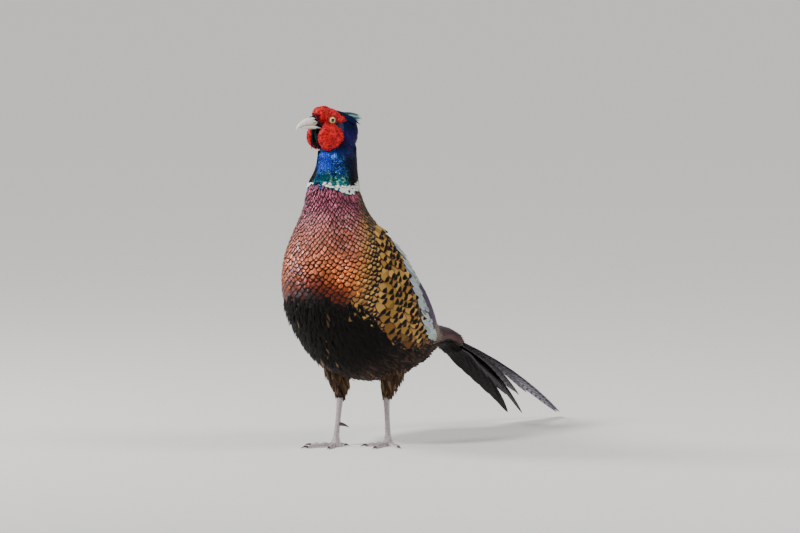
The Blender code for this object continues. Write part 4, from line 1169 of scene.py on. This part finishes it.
def faceSkins():
    material = faceMaterial()
    tree = grainTree(material)
    named = {item.name: item.identifier for item in tree.interface.items_tree if item.in_out == "INPUT"}
    for side, word in sides:
        points, loops, sizes = faceForms[side]
        bare = np.repeat(1.0 - blackPlaces(points, side)[:, None], 4, axis=1)
        made = (turned(points, headAxes), loops, sizes)
        piece = meshPiece("face_" + word, made, material, {"bareSkin": bare})
        grow = piece.modifiers.new("papillae", "NODES")
        grow.node_group = tree
        grow[named["Spacing"]] = faceSkin["grain"]
        grow[named["Grain radius"]] = faceSkin["grainSize"]
        grow[named["Seed"]] = 4 + side
        graph = bpy.context.evaluated_depsgraph_get()
        grown = bpy.data.meshes.new_from_object(piece.evaluated_get(graph))
        piece.modifiers.clear()
        piece.data = grown
        settle(piece, "wattle", "wattle_" + word)
        print("face skin", word, len(grown.vertices), "points")


sides = ((1, "left"), (-1, "right"))
faceForms = {side: faceForm(side) for side, _ in sides}
faceSkins()

# Eyes: a dark pupil in a pale yellow iris under a clear wet cornea, inside two rows of lid beads.
eyes = {"iris": 0.0055, "bulge": 0.0004, "radii": (0.0050, 0.0063), "out": 0.0120}
lids = {
    "out": 0.0158,
    "rows": ((0.0057, 0.00056, -0.0002), (0.0066, 0.00070, -0.0006)),  # radius, thickness, out
    "beads": 22,
    "low": 0.92,  # height over width
}


def makeEyes():
    # Living eye: the wet cornea gives one sharp highlight, the iris has fine rays.
    material = makeMaterial("wetEye", {
        "Roughness": 0.12, "Coat Weight": 0.5, "Coat Roughness": 0.02, "Specular IOR Level": 0.4}, [
        ("tint", "Attribute", {"attribute_name": "eyePlace"}),
        ("parts", "SeparateXYZ", "tint.Vector"),
        ("rays", "Math MULTIPLY", "parts.Y", 46.0),
        ("flat", "CombineXYZ", "parts.X", "rays"),
        ("grain", "TexNoise", {"Vector": "flat", "Scale": 3.0, "Detail": 3.0}),
        ("wander", "Math MULTIPLY_ADD", "grain", 0.10, -0.05),
        ("where", "Math ADD", "parts.X", "wander"),
        ("colour", "ValToRGB", "where", {"stops": (
            (0.43, "#030304"), (0.49, "#a8832c"), (0.56, "#f3dd8c"), (0.84, "#efd277"), (0.94, "#8a5a1c"),
            (1.0, "#140405"))}),
    ])
    deep, radius = eyes["radii"]
    polar = np.linspace(0.012, np.pi - 0.012, 44)[:, None]  # from the pupil's middle to the back
    turn = np.arange(48)[None, :] * 2 * np.pi / 48
    bulge = eyes["bulge"] * np.exp(-((polar / 0.55) ** 2))
    reach = (radius * np.sin(polar) / eyes["iris"] + 0 * turn).clip(0, 1.2)
    reach = np.where(polar > np.pi / 2, 1.2, reach)
    place = np.stack([reach, 0 * polar + turn / (2 * np.pi), 0 * reach, 0 * reach + 1], -1).reshape(-1, 4)
    for side, word in sides:
        points = np.stack([
            side * (deep + bulge) * np.cos(polar) + 0 * turn, radius * np.sin(polar) * np.cos(turn),
            radius * np.sin(polar) * np.sin(turn)], -1)
        rings = points + np.array((eyes["out"] * side, *head["eye"][1:]))
        rings = turned(rings[:, ::-side], headAxes)
        piece = meshPiece("eyeball_" + word, tube(rings), material, {"eyePlace": place})
        settle(piece, "eye", "eye_" + word)


def makeLids():
    # Eyelid skin: dark red, finely wrinkled and slightly wet at its rim.
    material = makeMaterial("lidSkin", {
        "Roughness": 0.38, "Subsurface Weight": 0.1, "Subsurface Scale": 0.001}, [
        ("place", "TexCoord"),
        ("grain", "TexNoise", {"Vector": "place.Object", "Scale": 900.0}),
        ("colour", "Mix RGBA", "grain", "#2b0306", "#a3121a"),
        ("bump", "Bump", {"Strength": 0.5, "Distance": 0.0002, "Height": "grain"}),
    ])
    turns = np.arange(72) * 2 * np.pi / 72
    outward = np.stack([0 * turns, np.cos(turns), np.sin(turns) * lids["low"]], -1)
    for side, word in sides:
        parts = []
        centre = np.array((lids["out"] * side, head["eye"][1], 0.0))
        for radius, thick, out in lids["rows"]:
            bead = 1 + 0.16 * np.cos(turns * lids["beads"] + radius * 9000)
            rings = np.stack([
                oval(centre + (out * side, 0, 0) + one * radius, unit(one), leftward, size, size * 1.3, 10)
                for one, size in zip(outward, thick * bead)])
            index = np.arange(rings.shape[0] * rings.shape[1]).reshape(rings.shape[:2])
            ahead, after = np.roll(index, -1, axis=0), np.roll(index, -1, axis=1)
            both = np.roll(ahead, -1, axis=1)
            faces = np.stack([index, ahead, both, after] if side < 0 else [index, after, both, ahead], -1)
            parts.append((turned(rings.reshape(-1, 3), headAxes), faces.reshape(-1), np.full(index.size, 4)))
        settle(meshPiece("lids_" + word, joined(parts), material, {}), "wattle")


makeEyes()
makeLids()

# Bill: ivory horn, the upper half hooked over the lower, with a slit nostril under its flap.
bill = {
    "upper": (
        (-0.0550, -0.0136, -0.0116, 0.0008),
        (-0.0525, -0.0118, -0.0066, 0.0022),
        (-0.0475, -0.0094, -0.0020, 0.0034),
        (-0.0415, -0.0079, 0.0016, 0.0045),
        (-0.0340, -0.0070, 0.0038, 0.0056),
        (-0.0290, -0.0072, 0.0052, 0.0066),
        (-0.0235, -0.0082, 0.0056, 0.0073),
        (-0.0185, -0.0096, 0.0050, 0.0075),
    ),
    "lower": (
        (-0.0488, -0.0116, -0.0102, 0.0012),
        (-0.0450, -0.0122, -0.0092, 0.0030),
        (-0.0370, -0.0124, -0.0077, 0.0044),
        (-0.0300, -0.0130, -0.0074, 0.0056),
        (-0.0235, -0.0134, -0.0085, 0.0066),
        (-0.0185, -0.0136, -0.0099, 0.0070),
    ),
    "nostril": (-0.0285, -0.0002),  # y and z
    "nostrilRadii": (0.0030, 0.0011),  # along, up
    "nostrilDepth": 0.0016,
    "flap": 0.0005,
}


def hornMaterial(name, pale, dark, roughness):
    # Keratin horn: growth streaks along it, satin gloss, darker where it is thick or worn, and with painted
    # shade in the bill's nostril.
    return makeMaterial(name, {
        "Roughness": roughness, "Coat Weight": 0.15, "Coat Roughness": 0.25, "Subsurface Weight": 0.08,
        "Subsurface Scale": 0.001}, [
        ("shade", "Attribute", {"attribute_name": "hornPlace"}),
        ("parts", "SeparateXYZ", "shade.Vector"),
        ("place", "TexCoord"),
        ("turnHead", "Mapping", {
            "Vector": "place.Object", "Rotation": (0.0, 0.0, math.radians(-head["turn"])),
            "Scale": (900.0, 90.0, 900.0)}),  # streaks about 1 mm apart, ten times as long
        ("streak", "TexNoise", {"Vector": "turnHead", "Scale": 1.0, "Detail": 3.0}),
        ("worn", "Math MULTIPLY_ADD", "streak", 0.5, "parts.Y"),
        ("colour", "Mix RGBA", "worn", pale, dark),
        ("bump", "Bump", {"Strength": 0.25, "Distance": 0.0002, "Height": "streak"}),
    ])


def makeBill():
    material = hornMaterial("ivoryHorn", "#f4f0e6", "#9a927e", 0.30)
    for word, rows, grey in (("upper", 70, 0.0), ("lower", 56, 0.12)):
        rings = levelRings(bill[word], rows, 44, 0.85)
        x, y, z = np.moveaxis(rings, -1, 0)
        deep = np.zeros(y.shape)
        if word == "upper":
            along = (y - bill["nostril"][0]) / bill["nostrilRadii"][0]
            up = (z - bill["nostril"][1] - 0.0006 * np.cos(along)) / bill["nostrilRadii"][1]
            out = np.sign(x) * (np.abs(x) > 0.003)
            deep = smooth(1.15, 0.55, np.hypot(along, up)) * np.abs(out)
            flap = np.exp(-(along**2) * 0.8 - ((up - 1.5) / 0.8) ** 2)
            rings[..., 0] += out * (bill["flap"] * flap - bill["nostrilDepth"] * deep)
        # painted shade: the nostril's dent is darkened to stand for its opening; the base and the lower half
        # are a little darker too
        wearAndShade = smooth(-0.030, -0.020, y) * 0.25 + 1.2 * deep + grey
        rings = turned(rings, headAxes)[:, ::-1]
        hornPiece("bill_half_" + word, rings, wearAndShade, material, "bill", "bill_" + word)


makeBill()
print("face, eyes and bill are made")

# Head feathers: the smallest, down to 2.5 mm, lying back from the bill and down to the neck.
headCoat = {
    "gap": 0.00125,
    "length": (0.0030, 0.0062),  # by the bill, at the nape
    "half": (0.0007, 0.0014),
    "face": (0.013, -0.018, 0.011, 0.0075),  # where none grow: hind edge, lowest, highest, how far out
    "front": -0.0262,  # and the foremost
    "tufts": {  # root, tip, number
        -1: ((-0.0125, 0.0215, 0.0045), (-0.0150, 0.0625, -0.0005), 30),
        1: ((0.0130, 0.0200, 0.0040), (0.0195, 0.0420, -0.0085), 14),
    },
}
lore = {"gap": 0.0009, "length": 0.0026, "half": 0.0007}  # black feathers on the red skin
chin = {  # black feathers that hang between the two lobes
    "count": 420,
    "jaw": ((-0.0255, -0.018, -0.009, -0.004), (-0.0115, -0.0150, -0.0200, -0.0230)),  # y and z
    "reach": 0.046,  # how far below the eyes the longest go
    "half": 0.0017,
}
forehead = {  # black feathers that run to a point over the bill's root
    "count": 900,
    "span": (-0.0345, -0.0225),  # foremost and hindmost roots
    "turn": 95.0,  # degrees to each side at the back
    "bill": ((-0.0340, -0.0290, -0.0235, -0.0185), (-0.0070, -0.0072, -0.0082, -0.0096),
             (0.0038, 0.0052, 0.0056, 0.0050), (0.0056, 0.0066, 0.0073, 0.0078)),  # y, low, high, half width
}


def headFeathers():
    spots, facing = scatter(skinPoints, skinNormals, skinLoops, onHead, headCoat["gap"])
    local = turned(spots, headAxes.inverted())
    x, y, z = local.T
    hind, low, high, out = headCoat["face"]
    face = (y < hind) & (z > low) & (z < high) & (np.abs(x) > out)
    keep = ~face & (y >= headCoat["front"])
    spots, facing, local = spots[keep], facing[keep], local[keep]
    x, y, z = local.T
    back = smooth(-0.026, 0.030, y)
    flow = np.stack([0 * back, 1.0 - 0.75 * back, -0.25 - 1.2 * back], -1) @ headTurn
    flow = flow + dice.normal(0, 0.10, flow.shape)
    length = np.interp(back, (0, 1), headCoat["length"]) * (1 + 0.12 * dice.standard_normal(len(back)))
    half = np.interp(back, (0, 1), headCoat["half"])
    nape = smooth(0.020, 0.034, y) * smooth(-0.018, -0.030, z)
    grid = standFeathers(spots, facing, unit(flow), length * (1 + 0.3 * nape), half, 0.22 + 0.22 * nape,
                         "small", 0.3, 0.10)
    turn = (np.degrees(np.arctan2(x, -(z + 0.010))) + 180) / 360
    bake = np.column_stack([0.02 + 0.96 * turn, (0.05 + (y + 0.03) * 11).clip(0.02, 0.98)])
    return batch(grid, "small", bake, varied(headTint(local), 0.25), hue["navy"] * 0.6, 0.25, length, half)


def headGrid(roots, facing, flow, *shape):
    # feathers given in the head's own axes
    return standFeathers(turned(roots, headAxes), facing @ headTurn, unit(flow) @ headTurn, *shape)


def deepTint(count, sheen, amount):
    # black with a little of another colour in its gloss
    return varied(np.tile(hue["black"] + sheen, (count, 1)), amount)


def loreFeathers(side):
    points, loops, _ = faceForms[side]
    quads = loops.reshape(-1, 4)
    flat = np.cross(points[quads[:, 2]] - points[quads[:, 0]], points[quads[:, 3]] - points[quads[:, 1]])
    normals = np.zeros(points.shape)
    for k in range(4):
        np.add.at(normals, quads[:, k], flat)
    spots, facing = scatter(points, unit(normals), loops, blackPlaces(points, side), lore["gap"])
    flow = np.array((0.0, 1.0, 0.35)) + dice.normal(0, 0.15, (len(spots), 3))
    grid = headGrid(spots, facing, flow, lore["length"], lore["half"], 0.35, "small", 0.3, 0.1)
    y = spots[:, 1]
    bake = np.column_stack([0.5 + side * 0.2 + 0 * y, 0.3 + (y + 0.03) * 5]).clip(0.02, 0.98)
    tint = deepTint(len(spots), hue["navy"] * 0.3, 0.2)
    return batch(grid, "small", bake, tint, hue["black"], 0.2, lore["length"], lore["half"])


def foreheadFeathers():
    count = forehead["count"]
    y = dice.uniform(*forehead["span"], count)
    narrow = 0.20 + 0.80 * smooth(forehead["span"][0], -0.0265, y)
    turn = dice.uniform(-1, 1, count) * math.radians(forehead["turn"]) * narrow
    low, high, half = (np.interp(y, forehead["bill"][0], column) for column in forehead["bill"][1:])
    roots = np.stack([half * np.sin(turn), y, (low + high) / 2 + (high - low) / 2 * np.cos(turn)], -1)
    facing = np.stack([np.sin(turn), 0 * y, np.cos(turn)], -1)
    flow = np.array((0.0, 1.0, 0.5)) + dice.normal(0, 0.12, (count, 3))
    grid = headGrid(roots, facing, flow, 0.0036, 0.0007, 0.45, "small", 0.3, 0.1)
    bake = np.column_stack([0.5 + roots[:, 0] * 20, 0.1 + (y + 0.0325) * 10]).clip(0.02, 0.98)
    tint = deepTint(count, hue["navy"] * 0.2, 0.2)
    return batch(grid, "small", bake, tint, hue["black"], 0.2, 0.0034, 0.0007)


def chinFeathers():
    count = chin["count"]
    roots = np.stack([
        dice.uniform(-0.010, 0.008, count), dice.uniform(-0.0255, -0.004, count), dice.random(count)], -1)
    roots[:, 2] = np.interp(roots[:, 1], *chin["jaw"])
    side = np.where(dice.random(count) < 0.6, 1.0, -1.0)
    facing = np.stack([side, 0 * side - 0.5, 0 * side], -1) + dice.normal(0, 0.2, (count, 3))
    flow = np.stack([0 * side, dice.normal(0.06, 0.12, count), 0 * side - 1.0], -1)
    length = (chin["reach"] + roots[:, 2]) * dice.uniform(0.35, 0.95, count)
    grid = headGrid(roots, unit(facing), flow, length, chin["half"], 0.03, "lax", 0.3, 0.05)
    bake = np.column_stack([0.5 + roots[:, 0] * 10, 0.5 + roots[:, 1] * 10])
    tint = deepTint(count, hue["neckTeal"] * 0.04, 0.3)
    return batch(grid, "lax", bake, tint, hue["navy"] * 0.4, 0.2, length, chin["half"])


def earTufts():
    made = []
    for side, (root, tip, count) in headCoat["tufts"].items():
        far = side < 0
        aside = dice.uniform(-1, 1, count)
        starts = np.array(root) + np.stack([
            dice.normal(0, 0.0008, count), dice.uniform(-0.006, 0.007, count), 0.0035 * aside], -1)
        aims = np.array(tip) - starts + np.stack([
            0.003 * dice.normal(0, 0.5, count), -0.010 * np.abs(aside), 0.0055 * aside], -1)
        reach = np.linalg.norm(aims, axis=1) * dice.uniform(0.72, 1.0, count)
        facing = np.tile((float(side), 0.0, 0.15), (count, 1))
        grid = headGrid(starts, facing, aims, reach, 0.0016, 0.04, "lax", 0.2, -0.02 * side)
        deep = dice.random(count) if far else np.ones(count)
        tint = varied(mixed(hue["neckTeal"], hue["navy"], deep), 0.2)
        bake = np.column_stack([0.1 + 0.8 * dice.random(count), 0.3 + 0.4 * dice.random(count)])
        # painted highlights: some far-side tufts get whitened teal rims, as glints on their gloss
        pale = dice.random(count) if far else np.zeros(count)
        rim = mixed(hue["navy"], hue["neckTeal"] * 1.6 + 0.30, pale)
        made.append(batch(grid, "lax", bake, tint, rim, 0.35, reach, 0.0014))
    return made


coatPiece("headFeathers", [headFeathers()], glossVane, "head")
coatPiece("loreFeathers", [loreFeathers(1), loreFeathers(-1), foreheadFeathers()], mattVane, "head")
coatPiece("chinFeathers", [chinFeathers()], mattVane, "head")
coatPiece("earTufts", earTufts(), glossVane, "ear_tuft", "ear_tuft_left", "ear_tuft_right")

# Thighs: loose dark brown feathers that hang down over the hock.
thighCoat = {
    "gap": 0.0028, "length": 0.0190, "half": 0.0022, "rise": 0.32,
    "height": 0.094, "span": 0.024, "foot": 0.066,  # middle, half the span and lowest tips
}


def thighFeathers():
    place = onThigh & (np.abs(skinPoints[:, 2] - thighCoat["height"]) < thighCoat["span"])
    spots, facing = scatter(skinPoints, skinNormals, skinLoops, place, thighCoat["gap"])
    flow = np.array((0.0, 0.25, -1.0)) + dice.normal(0, 0.16, spots.shape)
    length = thighCoat["length"] * uneven(0.18, len(spots), 0.6, 1.4)
    length = np.minimum(length, (spots[:, 2] - thighCoat["foot"]) * 1.05)
    keep = length > 0.003
    spots, facing, flow, length = spots[keep], facing[keep], flow[keep], length[keep]
    grid = standFeathers(spots, facing, unit(flow), length, thighCoat["half"], thighCoat["rise"], "lax",
                         0.25, 0.16)
    x, y, z = spots.T
    turn = (np.arctan2(x - np.sign(x) * 0.03, y) / (2 * np.pi) + 0.5) * 0.46
    bake = np.column_stack([np.where(x > 0, 0.5, 0.0) + 0.02 + turn, (z - 0.06) * 14]).clip(0.02, 0.98)
    tint = painted(hue["umber"] * 1.3, (hue["tan"] * 0.7, 0.7 * smooth(-0.6, 1.6, spread(spots))))
    return batch(grid, "lax", bake, varied(tint, 0.3), hue["brown"], 0.3, length, thighCoat["half"])


coatPiece("thighFeathers", [thighFeathers()], mattVane, "thigh")
print("head and thighs are feathered")

# Legs: grey-lilac scaled skin, with broad scutes in front of the shank and over the toes.
foot = {
    "shank": ((0.0, 0.0046, 0.0052), (0.08, 0.0048, 0.0056), (0.25, 0.0038, 0.0046), (0.55, 0.0036, 0.0043),
              (0.78, 0.0042, 0.0048), (0.87, 0.0062, 0.0062), (0.93, 0.0078, 0.0078), (0.98, 0.0078, 0.0078),
              (1.0, 0.0074, 0.0074)),
    "shankScute": 0.0040,
    "toeScute": 0.0024,
    "toes": {"inner": (-45.0, 0.034, 0.010), "middle": (0.0, 0.047, 0.011), "outer": (45.0, 0.037, 0.010),
             "hind": (188.0, 0.014, 0.008)},  # degrees, length, claw
    "start": 0.004,
    "groove": 0.00035,
    "sole": 0.0002,  # how high the toes' undersides lie
    "spur": ((0.0, 0.0032, 0.0), (0.006, 0.0026, 0.0), (0.012, 0.0016, 0.0012), (0.017, 0.0003, 0.0034)),
    "spurPlace": 0.54,  # share of the shank from hock to foot
    "claw": ((0.0, 1.0, 0.0), (0.35, 0.85, 0.0008), (0.7, 0.5, 0.0002), (1.0, 0.12, -0.0014)),
}


def limb(path, across, up, halfAcross, halfUp, run, pitch, front, count, columns):
    # a limb's rings with overlapping scutes in front and small nets behind, and how raised each point is
    turn = np.arange(count) * 2 * np.pi / count - front
    run = run[:, None]
    plate = (run / pitch + 0.10 * np.abs(np.sin(turn))) % 1.0
    scute = np.minimum(smooth(0.0, 0.16, plate), 0.35 + 0.65 * (1 - 0.35 * plate))
    if columns > 1:
        scute = scute * smooth(0.0, 0.10, np.abs(np.sin(turn)))
    net = 0.5 + 0.5 * np.cos(run / (pitch * 0.42) * 2 * np.pi) * np.cos((turn + front) * 7)
    share = smooth(-0.15, 0.15, np.cos(turn))
    height = scute * share + 0.7 * net * (1 - share)
    rings = np.stack([
        oval(centre, across, up, a, b, count) for centre, a, b in zip(path, halfAcross, halfUp)])
    out = unit(rings - np.array(path)[:, None, :])
    return rings + out * (height[..., None] - 1.0) * foot["groove"], height * 0.75


def legMaterial():
    # Scaled leg skin: matt grey-lilac keratin plates with brown in the grooves between them.
    return makeMaterial("scutedKeratin", {"Roughness": 0.45, "Coat Weight": 0.08, "Coat Roughness": 0.4}, [
        ("shade", "Attribute", {"attribute_name": "hornPlace"}),
        ("parts", "SeparateXYZ", "shade.Vector"),
        ("place", "TexCoord"),
        ("mottle", "TexNoise", {"Vector": "place.Object", "Scale": 260.0, "Detail": 4.0}),
        ("worn", "Math MULTIPLY_ADD", "mottle", 0.5, "parts.Y"),
        ("colour", "ValToRGB", "worn", {"stops": ((0.25, "#62554f"), (1.0, "#e6dfe2"), (0.7, "#b9aeb2"))}),
        ("bump", "Bump", {"Strength": 0.3, "Distance": 0.0002, "Height": "mottle"}),
    ])


def makeToe(word, name, aim, scaled, dark):
    _, length, claw = foot["toes"][name]
    share = np.linspace(0, 1, 110)
    reach = foot["start"] + (length - foot["start"]) * share
    swell = (1.0 + 0.10 * np.cos(share * 2 * np.pi * 2.6)) * np.interp(share, (0, 0.9, 1), (1, 1, 0.72))
    half, high = (0.0027 - 0.0007 * share) * swell, (0.0035 - 0.0010 * share) * swell
    path = np.stack([0 * share, -reach, np.maximum(high, 0.0021) - 0.0004], -1)
    rings, raised = limb(path, leftward, upward, half, high, reach, foot["toeScute"], np.pi / 2, 32, 1)
    table = splineRows(np.array(foot["claw"]), np.linspace(0, 3, 24))
    hook = np.stack([
        oval((0.0, -(length - 0.0010 + (claw + 0.0010) * part), 0.0021 + rise), leftward, upward,
             0.0015 * size, 0.0018 * size, 16) for part, size, rise in table])
    for one in (rings, hook):
        one[..., 2] = np.maximum(one[..., 2], foot["sole"])
    node = f"{word}_{name}"
    hornPiece("toeSkin_" + node, turned(rings, aim)[:, ::-1], raised, scaled, "toe", "toe_" + node)
    wearAndShade = np.linspace(0.1, 0.9, 24)[:, None]
    hornPiece("clawHorn_" + node, turned(hook, aim)[:, ::-1], wearAndShade, dark, "claw", "claw_" + node)


def makeLegs():
    scaled = legMaterial()
    dark = hornMaterial("darkHorn", "#5b4a42", "#15100e", 0.35)
    for word in ("right", "left"):
        spec = legs[word]
        side = spec["side"]
        hock = np.array((*spec["hock"], legs["hockZ"]))
        base = np.array((*spec["foot"], 0.0))
        table = np.array(foot["shank"])
        share = np.linspace(0, 1, 200)
        rough = (np.pad(np.interp(share, table[:, 0], table[:, k]), 4, "edge") for k in (1, 2))
        across, deep = (np.convolve(one, np.ones(9) / 9, "valid") for one in rough)
        path = hock + (base - hock) * share[:, None]
        rings, raised = limb(path, leftward, backward, across, deep, share * legs["hockZ"],
                             foot["shankScute"], -np.pi / 2, 48, 2)
        hornPiece("shankSkin_" + word, rings[:, ::-1], raised, scaled, "shank", "shank_" + word)
        place = Matrix.Translation(Vector(base)) @ Matrix.Rotation(math.radians(spec["out"]) * side, 4, "Z")
        for name, (turn, _, _) in foot["toes"].items():
            makeToe(word, name, place @ Matrix.Rotation(math.radians(turn) * side, 4, "Z"), scaled, dark)
        root = hock + (base - hock) * foot["spurPlace"]
        aim = unit(np.array(place)[:3, :3] @ np.array((-0.55 * side, 0.83, -0.10)))
        across = unit(np.cross(aim, upward))
        up = np.cross(across, aim)
        table = splineRows(np.array(foot["spur"]), np.linspace(0, 3, 30))
        rings = np.stack([
            oval(root + aim * reach - up * droop, across, up, size, size, 20)
            for reach, size, droop in table])
        wearAndShade = np.linspace(0.0, 0.8, 30)[:, None]
        hornPiece("spurHorn_" + word, rings, wearAndShade, dark, "spur", "spur_" + word)


makeLegs()
print("legs are made")

# Studio: a pale floor, three soft lamps and a long lens at the photograph's angle.
studio = {
    "floor": "#e9e7e3",
    "floorReach": 60.0,
    "backdrop": "#d9dbdc",
    "aim": Vector((0.0309, -0.1307, 0.2593)),
    "camera": (35.0, 5.0, 14.5),  # azimuth, elevation, distance
    "lens": 450.0,
    "sky": 0.42,
    "sun": (-8.0, 42.0, 5.0, 2.9, 10.0),  # azimuth, elevation, distance, strength, width in degrees
    "lamps": (
        # azimuth, elevation, distance, size, watts
        (-62.0, 34.0, 2.4, 0.9, 40.0),
        (100.0, 42.0, 2.6, 1.2, 26.0),
    ),
}


def addHolder(name, data, azimuth, elevation, distance):
    # a lamp or camera that looks at the bird from an angle
    a, e = math.radians(azimuth), math.radians(elevation)
    away = Vector((math.sin(a) * math.cos(e), -math.cos(a) * math.cos(e), math.sin(e)))
    holder = bpy.data.objects.new(name, data)
    holder.location = studio["aim"] + away * distance
    holder.rotation_euler = away.to_track_quat("Z", "Y").to_euler()
    bpy.context.scene.collection.objects.link(holder)
    return holder


def makeStudio():
    # Matt paper: a pale ground with a faint grain, so that nothing shines but the bird.
    material = makeMaterial("mattPaper", {"Roughness": 0.9}, [
        ("place", "TexCoord"),
        ("grain", "TexNoise", {"Vector": "place.Object", "Scale": 60.0, "Detail": 6.0}),
        ("tone", "Math MULTIPLY_ADD", "grain", 0.06, 0.97),
        ("colour", "VectorMath SCALE", linear(studio["floor"]), {"Scale": "tone"}),
    ])
    mesh = bpy.data.meshes.new("floor")
    reach = studio["floorReach"]
    corners = [(-reach, -reach, 0), (reach, -reach, 0), (reach, reach, 0), (-reach, reach, 0)]
    mesh.from_pydata(corners, [], [(0, 1, 2, 3)])
    mesh.materials.append(material)
    floor = bpy.data.objects.new("floor", mesh)
    bpy.context.scene.collection.objects.link(floor)
    for k, (azimuth, elevation, distance, size, watts) in enumerate(studio["lamps"]):
        lamp = bpy.data.lights.new(f"softbox{k}", "AREA")
        lamp.shape, lamp.size, lamp.energy = "DISK", size, watts
        addHolder(f"softbox{k}", lamp, azimuth, elevation, distance)
    azimuth, elevation, distance, strength, width = studio["sun"]
    lamp = bpy.data.lights.new("windowLight", "SUN")
    lamp.energy, lamp.angle = strength, math.radians(width)
    addHolder("windowLight", lamp, azimuth, elevation, distance)
    world = bpy.data.worlds.new("paleRoom")
    world.use_nodes = True
    sky = world.node_tree.nodes["Background"]
    sky.inputs["Color"].default_value = linear(studio["backdrop"]) + (1.0,)
    sky.inputs["Strength"].default_value = studio["sky"]
    bpy.context.scene.world = world
    camera = bpy.data.cameras.new("camera")
    camera.lens, camera.sensor_width, camera.clip_end = studio["lens"], 36.0, 100.0
    bpy.context.scene.camera = addHolder("camera", camera, *studio["camera"])


makeStudio()
print("studio is set")
